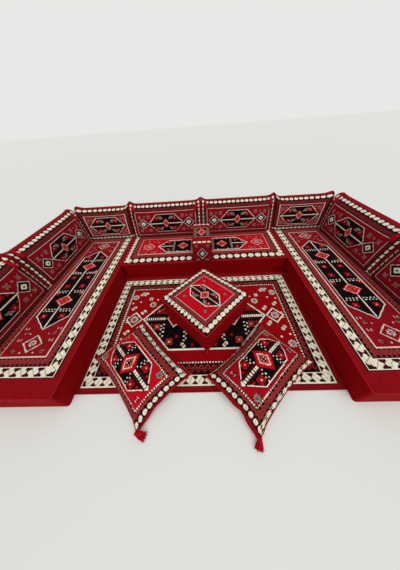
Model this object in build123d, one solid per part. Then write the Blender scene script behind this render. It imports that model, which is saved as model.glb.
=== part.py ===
from build123d import *
import math
import os

# Floor sofa set for a majlis: three floor seats in a U round a rug, back cushions along the walls,
# a centre armrest, a pouf and two throw pillows. Millimetres, +Z up, back wall towards +Y.
# The origin is on the floor under the middle of the rug.

overrun = 5.0  # how far a cutting shape runs past the face it cuts
fuse_depth = 0.5  # how deep a raised detail is rooted in what carries it
rest_gap = 0.3  # between a loose cushion and what it rests on
cushion_gap = 1.0  # between two cushions that stand side by side

# Rug, whose size sets the floor well between the seats
rug_length = 1500.0
rug_depth = 985.0
rug_thickness = 8.0
rug_gap = 0.8
binding_width = 12.0
binding_tape = 1.2
binding_lift = 0.6

# Cloth covers and what fills them
cover_thickness = 2.0
filling_clearance = 0.4
filling_inset = cover_thickness + filling_clearance

# Piping sewn into the top seam of the seats and the pouf, flush with their walls and their top panel
piping_radius = 3.0
piping_sides = 5
piping_clearance = 0.3
seam_width = 2 * piping_radius + piping_clearance

# Floor seats
seat_height = 158.0
seat_depth = 660.0
side_seat_length = 1700.0
seat_crown = 8.0
seat_corner = 12.0
seat_draw = 4.0
seat_zip_margin = 250.0
seat_gap = 0.4

# The raised crown of a boxed cushion
crown_margin = 12.0
crown_run = 110.0
crown_edge = 0.8

# Back cushions
long_cushion = 750.0
short_cushion = 500.0
back_height = 312.0
back_base = 165.0
back_top = 113.0
back_shoulder = 31.0
back_belly = 10.0
shoulder_belly = 14.0
ear_rise = 27.0
end_run = 48.0
belly_run = 130.0
back_zip_height = 48.0
zip_margin = 70.0
bow_shares = (0.0, 0.25, 0.5, 0.75, 1.0)
side_cushion_count = 2

# Centre armrest
armrest_length = 380.0
armrest_width = 165.0
armrest_height = 180.0
armrest_crown = 5.0
armrest_corner = 10.0
armrest_draw = 1.5
armrest_seat_margin = 6.0

# Pouf, which stands on the rug turned to show a corner
pouf_side = 455.0
pouf_height = 174.0
pouf_crown = 9.0
pouf_corner = 16.0
pouf_draw = 3.0
pouf_x = 9.0
pouf_y = 55.0
pouf_turn = 45.4

# Throw pillows, which lie across the rug's front edge
pillow_length = 508.0
pillow_width = 355.0
pillow_thickness = 125.0
pillow_seam_height = 44.0
pillow_draw = 16.0
left_pillow_x = -386.0
left_pillow_y = -359.0
left_pillow_turn = 134.5
right_pillow_x = 304.0
right_pillow_y = -395.5
right_pillow_turn = 41.2
left_tassel_way = -30.0
right_tassel_way = -95.0

# Zips: a woven-in chain at the bottom of a shallow placket, with a slider that runs along it
placket_width = 20.0
placket_depth = 5.8
placket_end = 10.0
chain_width = 6.0
chain_thickness = 1.6
stop_length = 5.0
stop_thickness = 2.4
slider_length = 13.0
slider_width = 11.4
slider_nose = 6.0
slider_plate = 1.4
slider_clearance = 0.3
bridge_length = 4.0
bridge_width = 3.0
bridge_height = 0.9
tab_length = 24.0
tab_width = 7.0
tab_thickness = 1.1
tab_eye = 2.6

# Yarn tassels
tassel_length = 74.0
tassel_cord = 1.8
tassel_set_off = 1.2
cord_clearance = 0.9
tassel_head = 7.5
tassel_waist = 5.0
tassel_skirt = 15.0
tassel_tip = 12.0
tassel_sides = 6
tassel_head_share = 0.10
tassel_waist_share = 0.24
tassel_skirt_share = 0.66
pouf_tassel_length = 52.0

# Places that follow from the sizes above
well_half = rug_length / 2 + rug_gap
well_back = rug_depth / 2 + rug_gap
wall_y = well_back + seat_depth
wall_x = well_half + seat_depth
cushion_base = seat_height + rest_gap
lying_base = rug_thickness + rest_gap

parts = {}


def box_between(x0, x1, y0, y1, z0, z1):
    return Pos(x0, y0, z0) * Box(x1 - x0, y1 - y0, z1 - z0, align=(Align.MIN, Align.MIN, Align.MIN))


def line(a, b):
    return Edge.make_line(a, b)


def arc(a, middle, b):
    return Edge.make_three_point_arc(a, middle, b)


# A soft form is a closed skin of flat facets between rings of points

def facet(points):
    return Face(Wire.make_polygon(points, close=True))


def skin(rings):
    faces = [facet(rings[0]), facet(rings[-1])]
    for near, far in zip(rings, rings[1:]):
        for i in range(len(near)):
            faces.append(facet((near[i - 1], near[i], far[i])))
            faces.append(facet((near[i - 1], far[i], far[i - 1])))
    return Solid(Shell(faces))


# Points from a to b in a plane across x, bowed out of the straight line between them

def bowed(a, b, bow):
    out = Vector(1, 0, 0).cross(b - a).normalized()
    return [a + (b - a) * s + out * (bow * 4 * s * (1 - s)) for s in bow_shares]


# Boxed cushion: x along its length from its middle, y from its front face back, z up from its base

def boxed_outline(length, depth, corner, draw, inset):
    half = length / 2 - inset
    front, rear = inset, depth - inset
    sides = [
        arc((-half, front, 0), (0, front + draw, 0), (half, front, 0)),
        line((half, front, 0), (half, rear, 0)),
        line((half, rear, 0), (-half, rear, 0)),
        line((-half, rear, 0), (-half, front, 0)),
    ]
    face = Face(Wire(sides))
    return face.fillet_2d(corner - inset, face.vertices())


# One crown swells from low edges to its full rise; it is sunk a little into the box that it tops

def crown(x0, x1, y0, y1, top, rise):
    sections = []
    middle = (y0 + y1) / 2
    for x, lift in ((x0, crown_edge), (x0 + crown_run, rise), (x1 - crown_run, rise), (x1, crown_edge)):
        sections.append(Wire([
            line((x, y0, top - fuse_depth), (x, y1, top - fuse_depth)),
            line((x, y1, top - fuse_depth), (x, y1, top)),
            arc((x, y1, top), (x, middle, top + lift), (x, y0, top)),
            line((x, y0, top), (x, y0, top - fuse_depth)),
        ]))
    return Solid.make_loft(sections, ruled=True)


def boxed_body(length, depth, height, corner, draw, crowns, rise, seam, inset):
    outline = boxed_outline(length, depth, corner, draw, inset)
    body = Pos(0, 0, inset) * extrude(outline, amount=height - 2 * inset)
    if seam:
        parallel_share = 2 - math.sqrt(2)
        body = chamfer(body.edges().group_by(Axis.Z)[-1], seam - inset * parallel_share)
    for x0, x1, y0, y1 in crowns:
        body += crown(x0 + inset, x1 - inset, y0 + inset, y1 - inset, height - inset, rise)
    return body


# The piping shows as a half round on the seam's slope, and its flat side is sewn to that slope

def piping_ring(length, depth, height, corner, draw):
    outline = boxed_outline(length, depth, corner, draw, piping_radius)
    path = Pos(0, 0, height - piping_radius) * outline.outer_wire()
    rear = path.edges().sort_by(Axis.Y)[-1]
    turns = [math.radians(180 * k / piping_sides - 45) for k in range(piping_sides + 1)]
    points = [(piping_radius * math.cos(t), piping_radius * math.sin(t)) for t in turns]
    plane = Plane(origin=rear @ 0.5, x_dir=(0, 1, 0), z_dir=(1, 0, 0))
    return sweep(plane * make_face(Polyline(*points, close=True)), path=path)


# Zip frame: x along the chain, z out of the cushion from its face, y across

def placket_space(zip_length, grow):
    half = zip_length / 2 + placket_end + grow
    side = placket_width / 2 + grow
    return box_between(-half, half, -side, side, -placket_depth - grow, overrun)


def zip_chain(zip_length):
    half = zip_length / 2
    root = -placket_depth - fuse_depth
    chain = box_between(-half, half, -chain_width / 2, chain_width / 2, root, chain_thickness - placket_depth)
    for x in (-half, half - stop_length):
        chain += box_between(x, x + stop_length, -chain_width / 2, chain_width / 2,
                             root, stop_thickness - placket_depth)
    return chain


# The slider laps both edges of the chain; its tab lies flat along the zip on a bridge

def zip_slider(zip_length):
    x0 = -zip_length / 2 + stop_length + slider_clearance
    x1 = x0 + slider_length
    shoulder = x1 - slider_nose
    side, nose = slider_width / 2, chain_width / 2 + slider_clearance
    low = slider_clearance - placket_depth
    plate = chain_thickness - placket_depth + slider_clearance
    outline = [(x0, -side), (shoulder, -side), (x1, -nose), (x1, nose), (shoulder, side), (x0, side)]
    face = make_face(Polyline(*outline, close=True))
    slider = Pos(0, 0, low) * extrude(face, amount=plate + slider_plate - low)
    slider -= box_between(x0 - overrun, x1 + overrun, -nose, nose, low - overrun, plate)
    top = plate + slider_plate
    slider += box_between(x0, x0 + bridge_length, -bridge_width / 2, bridge_width / 2, top - fuse_depth,
                          top + bridge_height)
    tab = box_between(x0, x0 + tab_length, -tab_width / 2, tab_width / 2, top + bridge_height - fuse_depth,
                      top + bridge_height + tab_thickness - fuse_depth)
    tab_end = x0 + tab_length - tab_eye
    tab -= box_between(tab_end - tab_eye, tab_end, -tab_eye / 2, tab_eye / 2, top - overrun, top + overrun)
    return slider + tab


# A cover is the shell between the outer form and the same form set in by the cloth's thickness

def cover_and_filling(form, zip_at, zip_length):
    cover = form(0) - zip_at * placket_space(zip_length, 0)
    cover -= form(cover_thickness) - zip_at * placket_space(zip_length, cover_thickness)
    cover += zip_at * zip_chain(zip_length)
    filling = form(filling_inset) - zip_at * placket_space(zip_length, filling_inset)
    return cover, filling, zip_at * zip_slider(zip_length)


def rear_zip(y, z):
    return Plane(origin=(0, y, z), x_dir=(1, 0, 0), z_dir=(0, 1, 0)).location


def under_zip(x, y):
    return Plane(origin=(x, y, 0), x_dir=(1, 0, 0), z_dir=(0, 0, -1)).location


# A tassel is a chain of polygons along its path: cord, bound head, waist and spreading skirt

def tassel(cord_points, start, end):
    along = end - start
    body_shares = (0.0, tassel_head_share, tassel_waist_share, tassel_skirt_share, 1.0)
    radii = (tassel_cord, tassel_head, tassel_waist, tassel_skirt, tassel_tip)
    points = list(cord_points) + [start + along * s for s in body_shares]
    radii = (tassel_cord,) * len(cord_points) + radii
    rings = []
    for i, (point, radius) in enumerate(zip(points, radii)):
        travel = points[min(i + 1, len(points) - 1)] - points[max(i - 1, 0)]
        ring = Plane(origin=point, x_dir=Vector(0, 0, 1).cross(travel), z_dir=travel)
        turns = [2 * math.pi * k / tassel_sides for k in range(tassel_sides)]
        rings.append([ring.from_local_coords((radius * math.cos(t), radius * math.sin(t), 0)) for t in turns])
    return skin(rings)


def place(prefix, at, pieces):
    for name, piece in pieces.items():
        parts[prefix + "_" + name] = at * piece


# Rug with a tape bound over its edge

def make_rug():
    half_x, half_y = rug_length / 2, rug_depth / 2
    top = rug_thickness
    whole = box_between(-half_x, half_x, -half_y, half_y, 0, top)
    frame = box_between(-half_x, half_x, -half_y, half_y, binding_lift, top)
    frame -= box_between(-half_x + binding_width, half_x - binding_width, -half_y + binding_width,
                         half_y - binding_width, -overrun, top + overrun)
    core = box_between(-half_x + binding_tape, half_x - binding_tape, -half_y + binding_tape,
                       half_y - binding_tape, binding_lift + binding_tape, top - binding_tape)
    parts["rug_binding"] = frame - core
    under_tape = box_between(-half_x, half_x, -half_y, half_y, -overrun, binding_lift)
    under_tape -= box_between(-half_x + binding_width, half_x - binding_width, -half_y + binding_width,
                              half_y - binding_width, -2 * overrun, top)
    parts["rug"] = whole - parts["rug_binding"] - under_tape


# Seats, each flat where the back cushions and the armrest stand on it

def make_seat(prefix, length, crowns, at):
    def form(inset):
        return boxed_body(length, seat_depth, seat_height, seat_corner, seat_draw, crowns,
                          seat_crown, seam_width, inset)

    zip_at = rear_zip(seat_depth, seat_height / 2)
    cover, foam, slider = cover_and_filling(form, zip_at, length - 2 * seat_zip_margin)
    piping = piping_ring(length, seat_depth, seat_height, seat_corner, seat_draw)
    place(prefix, at, {"cover": cover, "foam": foam, "piping": piping, "zip_slider": slider})


def make_seats():
    half = well_half - seat_gap
    armrest_half = armrest_width / 2 + armrest_seat_margin
    front, rear = crown_margin, seat_depth - back_base - crown_margin
    end = half - crown_margin
    crowns = [(-end, -armrest_half, front, rear), (armrest_half, end, front, rear)]
    make_seat("centre_seat", 2 * half, crowns, Pos(0, well_back, 0))
    side_half = side_seat_length / 2
    middle_y = wall_y - side_half
    free_end = side_half - crown_margin
    wall_end = side_half - back_base - crown_margin
    make_seat("left_seat", side_seat_length, [(-free_end, wall_end, front, rear)],
              Pos(-well_half, middle_y, 0) * Rot(0, 0, 90))
    make_seat("right_seat", side_seat_length, [(-wall_end, free_end, front, rear)],
              Pos(well_half, middle_y, 0) * Rot(0, 0, -90))


# Back cushion: x along its length from its middle, y = 0 on its flat back, z up from its base.
# Its section is a flat back and base, a crowned front that leans back, and a shoulder over the top.

def back_corners(x, base, top, height, inset):
    lean = (base - top) / (height - back_shoulder)
    brow_height = height - back_shoulder - inset
    peak_share = 3.0
    heel = Vector(x, -inset, inset)
    foot = Vector(x, inset - base, inset)
    brow = Vector(x, inset - base + lean * (brow_height - inset), brow_height)
    peak = Vector(x, -inset, height - peak_share * inset)
    return heel, foot, brow, peak


# From each end to the middle the cushion thickens and its top edge falls from the ear

def back_stations(length, inset):
    thick_shares = (0.80, 0.89, 0.95, 1.0)
    top_shares = (0.55, 0.76, 0.88, 1.0)
    rise_shares = (1.0, 0.58, 0.28, 0.0)
    ear_share = 0.4
    half = length / 2
    places = (half - inset, half - end_run * ear_share, half - end_run, half - belly_run)
    stations = []
    for x, thick, top, rise in zip(places, thick_shares, top_shares, rise_shares):
        stations.append((x, back_base * thick, back_top * top, back_height + ear_rise * rise))
    return [(-s[0],) + s[1:] for s in stations] + stations[::-1]


def back_body(length, inset):
    rings = []
    for station in back_stations(length, inset):
        heel, foot, brow, peak = back_corners(*station, inset)
        rings.append([heel] + bowed(foot, brow, back_belly) + bowed(brow, peak, shoulder_belly)[1:])
    return skin(rings)


# The tassel's cord comes over the shoulder from the top seam, and the tassel lies down the front

def back_tassels(length):
    tassels = []
    for station in (back_stations(length, 0)[2], back_stations(length, 0)[-3]):
        heel, foot, brow, peak = back_corners(*station, 0)
        over = Vector(1, 0, 0).cross(peak - brow).normalized() * (tassel_cord + cord_clearance)
        cord = [point + over for point in bowed(brow, peak, shoulder_belly)[:0:-1]]
        down = (foot - brow).normalized()
        out = down.cross(Vector(1, 0, 0))
        start = brow + out * (tassel_head + rest_gap)
        spread = (tassel_skirt - tassel_head) / tassel_skirt_share
        end = start + down * tassel_length + out * (spread + back_belly)
        tassels.append(tassel(cord, start, end))
    return tassels


def make_back_cushion(prefix, length, at, with_tassels):
    def form(inset):
        return back_body(length, inset)

    zip_at = rear_zip(0, back_zip_height)
    cover, filling, slider = cover_and_filling(form, zip_at, length - 2 * zip_margin)
    place(prefix, at, {"cover": cover, "filling": filling, "zip_slider": slider})
    if with_tassels:
        parts[prefix + "_tassels"] = at * Compound(children=back_tassels(length))


def make_back_cushions():
    pitch = long_cushion + cushion_gap
    for side, name in ((-1, "left"), (1, "right")):
        middle = side * pitch / 2
        make_back_cushion("back_cushion_" + name, long_cushion, Pos(middle, wall_y, cushion_base), True)
        corner = side * (pitch + short_cushion / 2 + cushion_gap / 2)
        make_back_cushion("corner_cushion_" + name, short_cushion, Pos(corner, wall_y, cushion_base), False)
        for i in range(side_cushion_count):
            y = wall_y - back_base - cushion_gap - long_cushion / 2 - i * pitch
            at = Pos(side * wall_x, y, cushion_base) * Rot(0, 0, -side * 90)
            make_back_cushion(f"{name}_side_cushion_{i + 1}", long_cushion, at, True)


# Armrest block on the middle of the centre seat, its length running back from the seat's front edge

def make_armrest():
    half, margin = armrest_length / 2, crown_margin
    crowns = [(-half + margin, half - margin, margin, armrest_width - margin)]

    def form(inset):
        return boxed_body(armrest_length, armrest_width, armrest_height, armrest_corner, armrest_draw, crowns,
                          armrest_crown, 0, inset)

    zip_at = under_zip(0, armrest_width / 2)
    cover, foam, slider = cover_and_filling(form, zip_at, armrest_length - 2 * zip_margin)
    at = Pos(armrest_width / 2, well_back + half, cushion_base) * Rot(0, 0, 90)
    place("armrest", at, {"cover": cover, "foam": foam, "zip_slider": slider})


# Pouf, with a tassel on the rug at each bottom corner

def make_pouf():
    half = pouf_side / 2
    margin = crown_margin
    crowns = [(-half + margin, half - margin, margin, pouf_side - margin)]

    def form(inset):
        return boxed_body(pouf_side, pouf_side, pouf_height, pouf_corner, pouf_draw, crowns,
                          pouf_crown, seam_width, inset)

    zip_at = rear_zip(pouf_side, pouf_height / 2)
    cover, foam, slider = cover_and_filling(form, zip_at, pouf_side - 2 * zip_margin)
    piping = piping_ring(pouf_side, pouf_side, pouf_height, pouf_corner, pouf_draw)
    tassels = []
    corner = pouf_corner * (1 - math.sqrt(0.5))
    for side_x, side_y in ((-1, -1), (1, -1), (-1, 1), (1, 1)):
        x = side_x * (half - corner)
        y = half + side_y * (half - corner)
        out = rest_gap * math.sqrt(0.5)
        start = Vector(x + side_x * out, y + side_y * out, tassel_skirt)
        reach = pouf_tassel_length * math.sqrt(0.5)
        end = start + Vector(side_x * reach, side_y * reach, 0)
        tassels.append(tassel([], start, end))
    at = Pos(pouf_x, pouf_y, lying_base) * Rot(0, 0, pouf_turn) * Pos(0, -half, 0)
    place("pouf", at, {"cover": cover, "foam": foam, "piping": piping, "zip_slider": slider,
                       "tassels": Compound(children=tassels)})


# Throw pillow: x along its length and y across, both from its middle, z up from where it lies

def pillow_body(inset):
    end_shares = (1.0, 0.93, 0.80, 0.60, 0.30)
    rise_shares = (0.06, 0.34, 0.62, 0.86, 1.0)
    drop_shares = (0.12, 0.50, 0.88, 1.0, 1.0)
    across_shares = (1.0, 0.88, 0.65, 0.35, 0.0, -0.35, -0.65, -0.88, -1.0)
    flat_share = 0.30
    waist_share = 0.30
    seam = pillow_seam_height
    half_rings = []
    for end, rise, drop in zip(end_shares, rise_shares, drop_shares):
        x = pillow_length / 2 * end - inset * (end == 1.0)
        side = pillow_width / 2 - pillow_draw * (1 - end * end) - inset
        top = seam + (pillow_thickness - seam) * rise - inset
        base = seam * (1 - drop) + inset
        flat = side * flat_share
        cheek = (side + flat) / 2
        waist = base + (seam - base) * waist_share
        ring = [(x, side * s, seam + (top - seam) * (1 - s * s)) for s in across_shares]
        ring += [(x, -cheek, waist), (x, -flat, base), (x, flat, base), (x, cheek, waist)]
        half_rings.append(ring)
    far = [[(-x, y, z) for x, y, z in ring] for ring in half_rings]
    return skin(far + half_rings[::-1])


# The tassel at the front tip droops from the seam to the floor in front of the rug, in its own direction

def make_pillow(prefix, x, y, turn, tip_side, tassel_way):
    zip_at = under_zip(0, 0)
    cover, filling, slider = cover_and_filling(pillow_body, zip_at, pillow_length - 2 * zip_margin)
    tip = (-pillow_length / 2 - tassel_set_off, tip_side * pillow_width / 2, pillow_seam_height)
    drop = pillow_seam_height + lying_base - tassel_skirt
    reach = math.sqrt(tassel_length ** 2 - drop ** 2)
    way = math.radians(tassel_way - turn)
    start = Vector(*tip)
    end = start + Vector(reach * math.cos(way), reach * math.sin(way), -drop)
    at = Pos(x, y, lying_base) * Rot(0, 0, turn)
    place(prefix, at, {"cover": cover, "filling": filling, "zip_slider": slider,
                       "tassel": tassel([], start, end)})


make_rug()
make_seats()
make_back_cushions()
make_armrest()
make_pouf()
make_pillow("left_pillow", left_pillow_x, left_pillow_y, left_pillow_turn, 1, left_tassel_way)
make_pillow("right_pillow", right_pillow_x, right_pillow_y, right_pillow_turn, -1, right_tassel_way)

os.makedirs("parts", exist_ok=True)
for node, solid in parts.items():
    export_step(solid, f"parts/{node}.step")
print(len(parts), "sub-parts written")
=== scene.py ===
import math
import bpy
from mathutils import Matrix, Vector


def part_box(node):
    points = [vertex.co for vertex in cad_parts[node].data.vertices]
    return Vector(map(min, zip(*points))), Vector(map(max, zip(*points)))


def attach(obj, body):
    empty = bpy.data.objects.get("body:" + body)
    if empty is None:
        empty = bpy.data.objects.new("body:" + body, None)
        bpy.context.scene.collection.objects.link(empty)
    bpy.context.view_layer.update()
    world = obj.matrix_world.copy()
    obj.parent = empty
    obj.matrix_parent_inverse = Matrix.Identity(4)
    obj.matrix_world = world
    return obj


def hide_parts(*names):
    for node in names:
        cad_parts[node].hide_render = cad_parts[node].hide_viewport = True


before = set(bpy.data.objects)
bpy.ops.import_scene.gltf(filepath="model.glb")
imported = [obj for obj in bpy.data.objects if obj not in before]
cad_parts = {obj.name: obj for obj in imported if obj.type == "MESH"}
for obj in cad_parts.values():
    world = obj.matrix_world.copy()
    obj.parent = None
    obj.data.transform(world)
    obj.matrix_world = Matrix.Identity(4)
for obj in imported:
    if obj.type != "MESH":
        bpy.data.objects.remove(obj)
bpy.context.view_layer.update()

from types import SimpleNamespace
import bpy
import numpy as np
from mathutils import Matrix

# Majlis floor sofa: woven kilim covers with velvet sides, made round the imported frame.
# Pieces are worked out in millimetres and become metres in clothMesh.

scene = bpy.context.scene
mm = 0.001
rng = np.random.default_rng(7)  # the one source of chance, so that each run is the same


def linear(hexCode):
    # an sRGB hex value to linear RGB: c/12.92 below 0.04045, else ((c + 0.055)/1.055)^2.4
    c = np.array([int(hexCode[i:i + 2], 16) for i in (1, 3, 5)]) / 255
    return np.where(c <= 0.04045, c / 12.92, ((c + 0.055) / 1.055) ** 2.4)


print("camera")

cameraView = {
    "place": (0.0245, -0.7413, 1.0818),  # metres, found from the straight edges in the photograph
    "down": 44.61, "yaw": -3.1, "roll": -4.6,  # degrees
    "focalPixels": 169.7, "frameHeight": 570, "sensor": 36.0,
}


def makeCamera(c):
    # forward = (sin yaw cos down, cos yaw cos down, -sin down); right and up are then rolled
    yaw, down, roll = (math.radians(c[k]) for k in ("yaw", "down", "roll"))
    forward = np.array([math.sin(yaw) * math.cos(down), math.cos(yaw) * math.cos(down), -math.sin(down)])
    right = np.cross(forward, (0, 0, 1))
    right /= np.linalg.norm(right)
    up = np.cross(right, forward)
    x = math.cos(roll) * right + math.sin(roll) * up
    y = -math.sin(roll) * right + math.cos(roll) * up
    data = bpy.data.cameras.new("photoCamera")
    data.sensor_width = c["sensor"]
    data.lens = c["focalPixels"] / c["frameHeight"] * c["sensor"]
    data.clip_start = 0.01
    cam = bpy.data.objects.new("photoCamera", data)
    turn = np.eye(4)
    turn[:3, 0], turn[:3, 1], turn[:3, 2], turn[:3, 3] = x, y, -forward, c["place"]
    cam.matrix_world = Matrix(turn.tolist())
    scene.collection.objects.link(cam)
    scene.camera = cam


makeCamera(cameraView)

print("yarns")

yarnHex = {
    "velvet": "#8c040c",  # cut pile of the cushions' sides, deep red
    "hem": "#8d0d16",  # red edge outside the border
    "black": "#0f0608",
    "cream": "#f1e9d3",
    "ivory": "#e9c9c0",  # the pinkish white of the thin frame lines
    "olive": "#8b8a55",
    "maroon": "#4c0c14",
    "band": "#86292a",  # brick red border
    "bandPale": "#9c3a38",
    "bandDark": "#5c1a1e",
    "rose": "#b06a66",  # small flowers of the back cushions
    "ember": "#a83a2c",
    "orange": "#cf5434",
    "grey": "#96877e",
    "crimson": "#c40a1d",  # bright field of the left pillow, the pouf and the centre seat
    "garnet": "#a3081a",  # field of the right pillow: the crimson painted darker, as painted shade where its pile leans away from the light
    "field": "#8e0f1b",  # field of the back cushions
    "rugField": "#94050d",
}
yarnColours = np.array([linear(h) for h in yarnHex.values()])
yarn = SimpleNamespace(**{name: i for i, name in enumerate(yarnHex)})


# Charts. Each takes places in mm on the cloth and gives a yarn number for every place.

def tile(s, pitch):
    # place within a repeat, from -0.5 to 0.5, 0 at whole multiples of the pitch
    return (s / pitch + 0.5) % 1 - 0.5


def diamondDepth(x, y, a, b):
    # depth in mm inside |x|/a + |y|/b = 1
    return (1 - np.abs(x) / a - np.abs(y) / b) * a * b / math.hypot(a, b)


def hexagonDepth(x, y, tip, half, flat):
    # depth in mm inside a hexagon with tips at x = +-tip and flat sides at y = +-half for |x| < flat
    k = (tip - flat) / half
    return np.minimum(half - np.abs(y), (tip - np.abs(x) - k * np.abs(y)) / math.hypot(1, k))


def paintRings(dye, depth, rings):
    # one shade inside another: each ring is the depth in mm where it begins, and its yarn
    for begin, shade in rings:
        dye[depth > begin] = shade


def scatter(paint, dye, x, y, figures, *shades):
    # figures: one figure's size in mm and the places where it stands
    size, places = figures
    for px, py in places:
        paint(dye, x - px, y - py, size, *shades)


def paintDisc(dye, x, y, r, shade):
    # all that lies less than r from the middle
    dye[np.hypot(x, y) < r] = shade


def paintDot(dye, x, y, r, shade):
    # a square dot, r to each side of its middle
    dye[(np.abs(x) < r) & (np.abs(y) < r)] = shade


def paintRosette(dye, x, y, r, petal, centre):
    # eight petals inside r (0.60 + 0.34 |cos 4a|), with a black rim, grey between them and a dark centre
    d, a = np.hypot(x, y), np.arctan2(y, x)
    lobe = np.abs(np.cos(4 * a))
    dye[d < r * (0.74 + 0.34 * lobe)] = yarn.black
    dye[d < r * (0.60 + 0.34 * lobe)] = petal
    dye[(d < 0.68 * r) & (d > 0.36 * r) & (lobe > 0.72)] = yarn.grey
    dye[(d < 0.66 * r) & (lobe < 0.20)] = yarn.black
    dye[d < 0.34 * r] = centre
    dye[d < 0.12 * r] = petal


def paintBlossom(dye, x, y, r, lean):
    # two cream lobes with olive hearts, at 0.52 r to each side on a diagonal; lean 1 or -1 says which
    # diagonal. Maroon lies round them and a black bar between them
    p, q = (x + lean * y) / math.sqrt(2), (y - lean * x) / math.sqrt(2)
    lobes = np.hypot((np.abs(p) - 0.52 * r) / 0.50, q / 0.58) < r
    dye[np.hypot((np.abs(p) - 0.5 * r) / 0.62, q / 0.72) < r] = yarn.maroon
    dye[lobes] = yarn.cream
    dye[np.hypot((np.abs(p) - 0.50 * r) / 0.24, q / 0.26) < r] = yarn.olive
    dye[(np.abs(p) < 0.14 * r) & (np.abs(q) < 0.7 * r)] = yarn.black


def paintFlower(dye, x, y, r, petal, heart):
    # four round petals on the diagonals, dark between them, a pale heart
    p, q = np.abs(x), np.abs(y)
    petals = np.hypot(p - 0.46 * r, q - 0.46 * r)
    dye[np.hypot(x, y) < r] = yarn.maroon
    dye[petals < 0.40 * r] = petal
    dye[petals < 0.13 * r] = yarn.black
    dye[(p < 0.16 * r) & (q < 0.16 * r)] = heart


def paintBeam(dye, x, y, r):
    # a small figure like a beam with two feet
    dye[(np.abs(x) < 0.62 * r) & (np.abs(y) < r)] = yarn.maroon
    dye[(np.abs(x) < 0.16 * r) & (np.abs(y) < 0.8 * r)] = yarn.orange
    dye[(np.abs(x) < 0.5 * r) & (np.abs(np.abs(y) - 0.7 * r) < 0.14 * r)] = yarn.ivory
    dye[(np.abs(x) < 0.12 * r) & (np.abs(y) < 0.12 * r)] = yarn.cream


def chainDye(s, t, pitch, lean):
    # t from -0.5 to 0.5 across; black hourglasses 0.045 to 0.285 of the pitch to each side of their middle,
    # widening outwards, and an olive line leaning between two
    p, q = tile(s, pitch), np.abs(t)
    width = 0.045 + 0.24 * np.clip((q - 0.07) / 0.20, 0, 1)
    dye = np.full(p.shape, yarn.cream)
    dye[(np.abs(p) < width) & (q < 0.42)] = yarn.black
    dye[(np.abs(p) < width - 0.085) & (q < 0.35) & (q > 0.10)] = yarn.maroon
    dye[(np.abs(p) < 0.03) & (q < 0.05)] = yarn.orange
    slope = tile(s - pitch / 2 - lean * t * pitch * 0.62, pitch)
    dye[(np.abs(slope) < 0.03) & (q < 0.40)] = yarn.olive
    return dye


def discDye(s, t, pitch, lean):
    # the same chain woven closer: the hourglasses run to the border lines, so round cream discs are left
    p, q = tile(s, pitch), np.abs(t)
    dye = np.full(p.shape, yarn.cream)
    gap = 0.5 - np.abs(p)
    dye[gap < 0.03 + 0.25 * np.clip((q - 0.12) / 0.38, 0, 1) ** 1.2] = yarn.black
    dye[(gap < 0.10) & (q > 0.3) & (q < 0.43)] = yarn.maroon
    dye[(np.abs(p - lean * t * 0.5) < 0.03) & (q < 0.26)] = yarn.olive
    return dye


def ovalDye(s, t, pitch, lean):
    # cream ovals on black and maroon, each with a thin leaning olive line
    p = tile(s, pitch)
    dye = np.where(np.abs(t) < 0.42, yarn.maroon, yarn.black)
    dye[np.hypot(p / 0.40, t / 0.44) < 1] = yarn.cream
    slope = np.abs(p - lean * t * 0.45)
    dye[(slope < 0.03) & (np.abs(t) < 0.24)] = yarn.olive
    return dye


def bandDye(s, w, pitch, style):
    # w from 0 to 1 across the border. zigzag: nested chevrons. steps and dark: black teeth on both sides
    wave = np.abs(2 * np.mod(s / pitch, 1) - 1)
    if style == "zigzag":
        step = np.floor((w + 0.40 * wave - 0.20) * 7).astype(int)
        shades = np.array([yarn.black, yarn.black, yarn.maroon, yarn.band, yarn.black, yarn.ember,
                           yarn.maroon, yarn.black, yarn.maroon, yarn.black])
        return shades[np.clip(step + 1, 0, len(shades) - 1)]
    dark = style == "dark"
    dye = np.full(s.shape, yarn.bandDark if dark else yarn.band)
    ripple = np.mod(2.5 * w + 0.8 * wave, 1)
    dye[ripple < 0.30] = yarn.band if dark else yarn.bandPale
    dye[(np.abs(w - 0.5) > 0.27) & (np.abs(tile(s, pitch)) < 0.26)] = yarn.black
    return dye


def borderDye(u, v, spec):
    # level: how deep a place lies, counted in the border's own stripes, the least over the four sides:
    # hem, black line, chain, black line, band, dots or pale line, field
    u0, u1, v0, v1 = spec["panel"]
    if "shift" in spec:  # the pattern's middle lies off the cloth's
        u, v = u - spec["shift"][0], v - spec["shift"][1]
    far = np.stack([u - u0, u1 - u, v - v0, v1 - v])
    deep = np.stack([np.interp(d, b, np.arange(len(b))) for d, b in zip(far, spec["breaks"])])
    side, level = deep.argmin(0), deep.min(0)
    middle = (u0 + u1) / 2
    along = np.where(side < 2, v, u - middle)
    dye = np.full(u.shape, spec["field"])
    dye[level < 1] = yarn.hem
    dye[(level >= 1) & (level < 2)] = yarn.black
    lean = np.where(side < 2, 1, np.where(u < middle, 1, -1))
    chains = {"chain": chainDye, "oval": ovalDye, "disc": discDye}
    for k in range(4):
        mask = (level >= 2) & (level < 3) & (side == k)
        link, pitch = spec["chain"][k]
        dye[mask] = chains[link](along[mask], level[mask] - 2.5, pitch, lean[mask])
    dye[(level >= 3) & (level < 4)] = yarn.black
    mask = (level >= 4) & (level < 5)
    dye[mask] = bandDye(along[mask], level[mask] - 4, spec["toothPitch"], spec["bandStyle"])
    mask = (level >= 5) & (level < 6)
    if spec["dotPitch"]:
        dye[mask] = np.where(np.abs(tile(along[mask], spec["dotPitch"])) < 0.27, yarn.cream, yarn.black)
    else:
        dye[mask] = yarn.ivory
    return dye


outlineRim = 2.5  # mm of black line round a medallion


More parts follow.
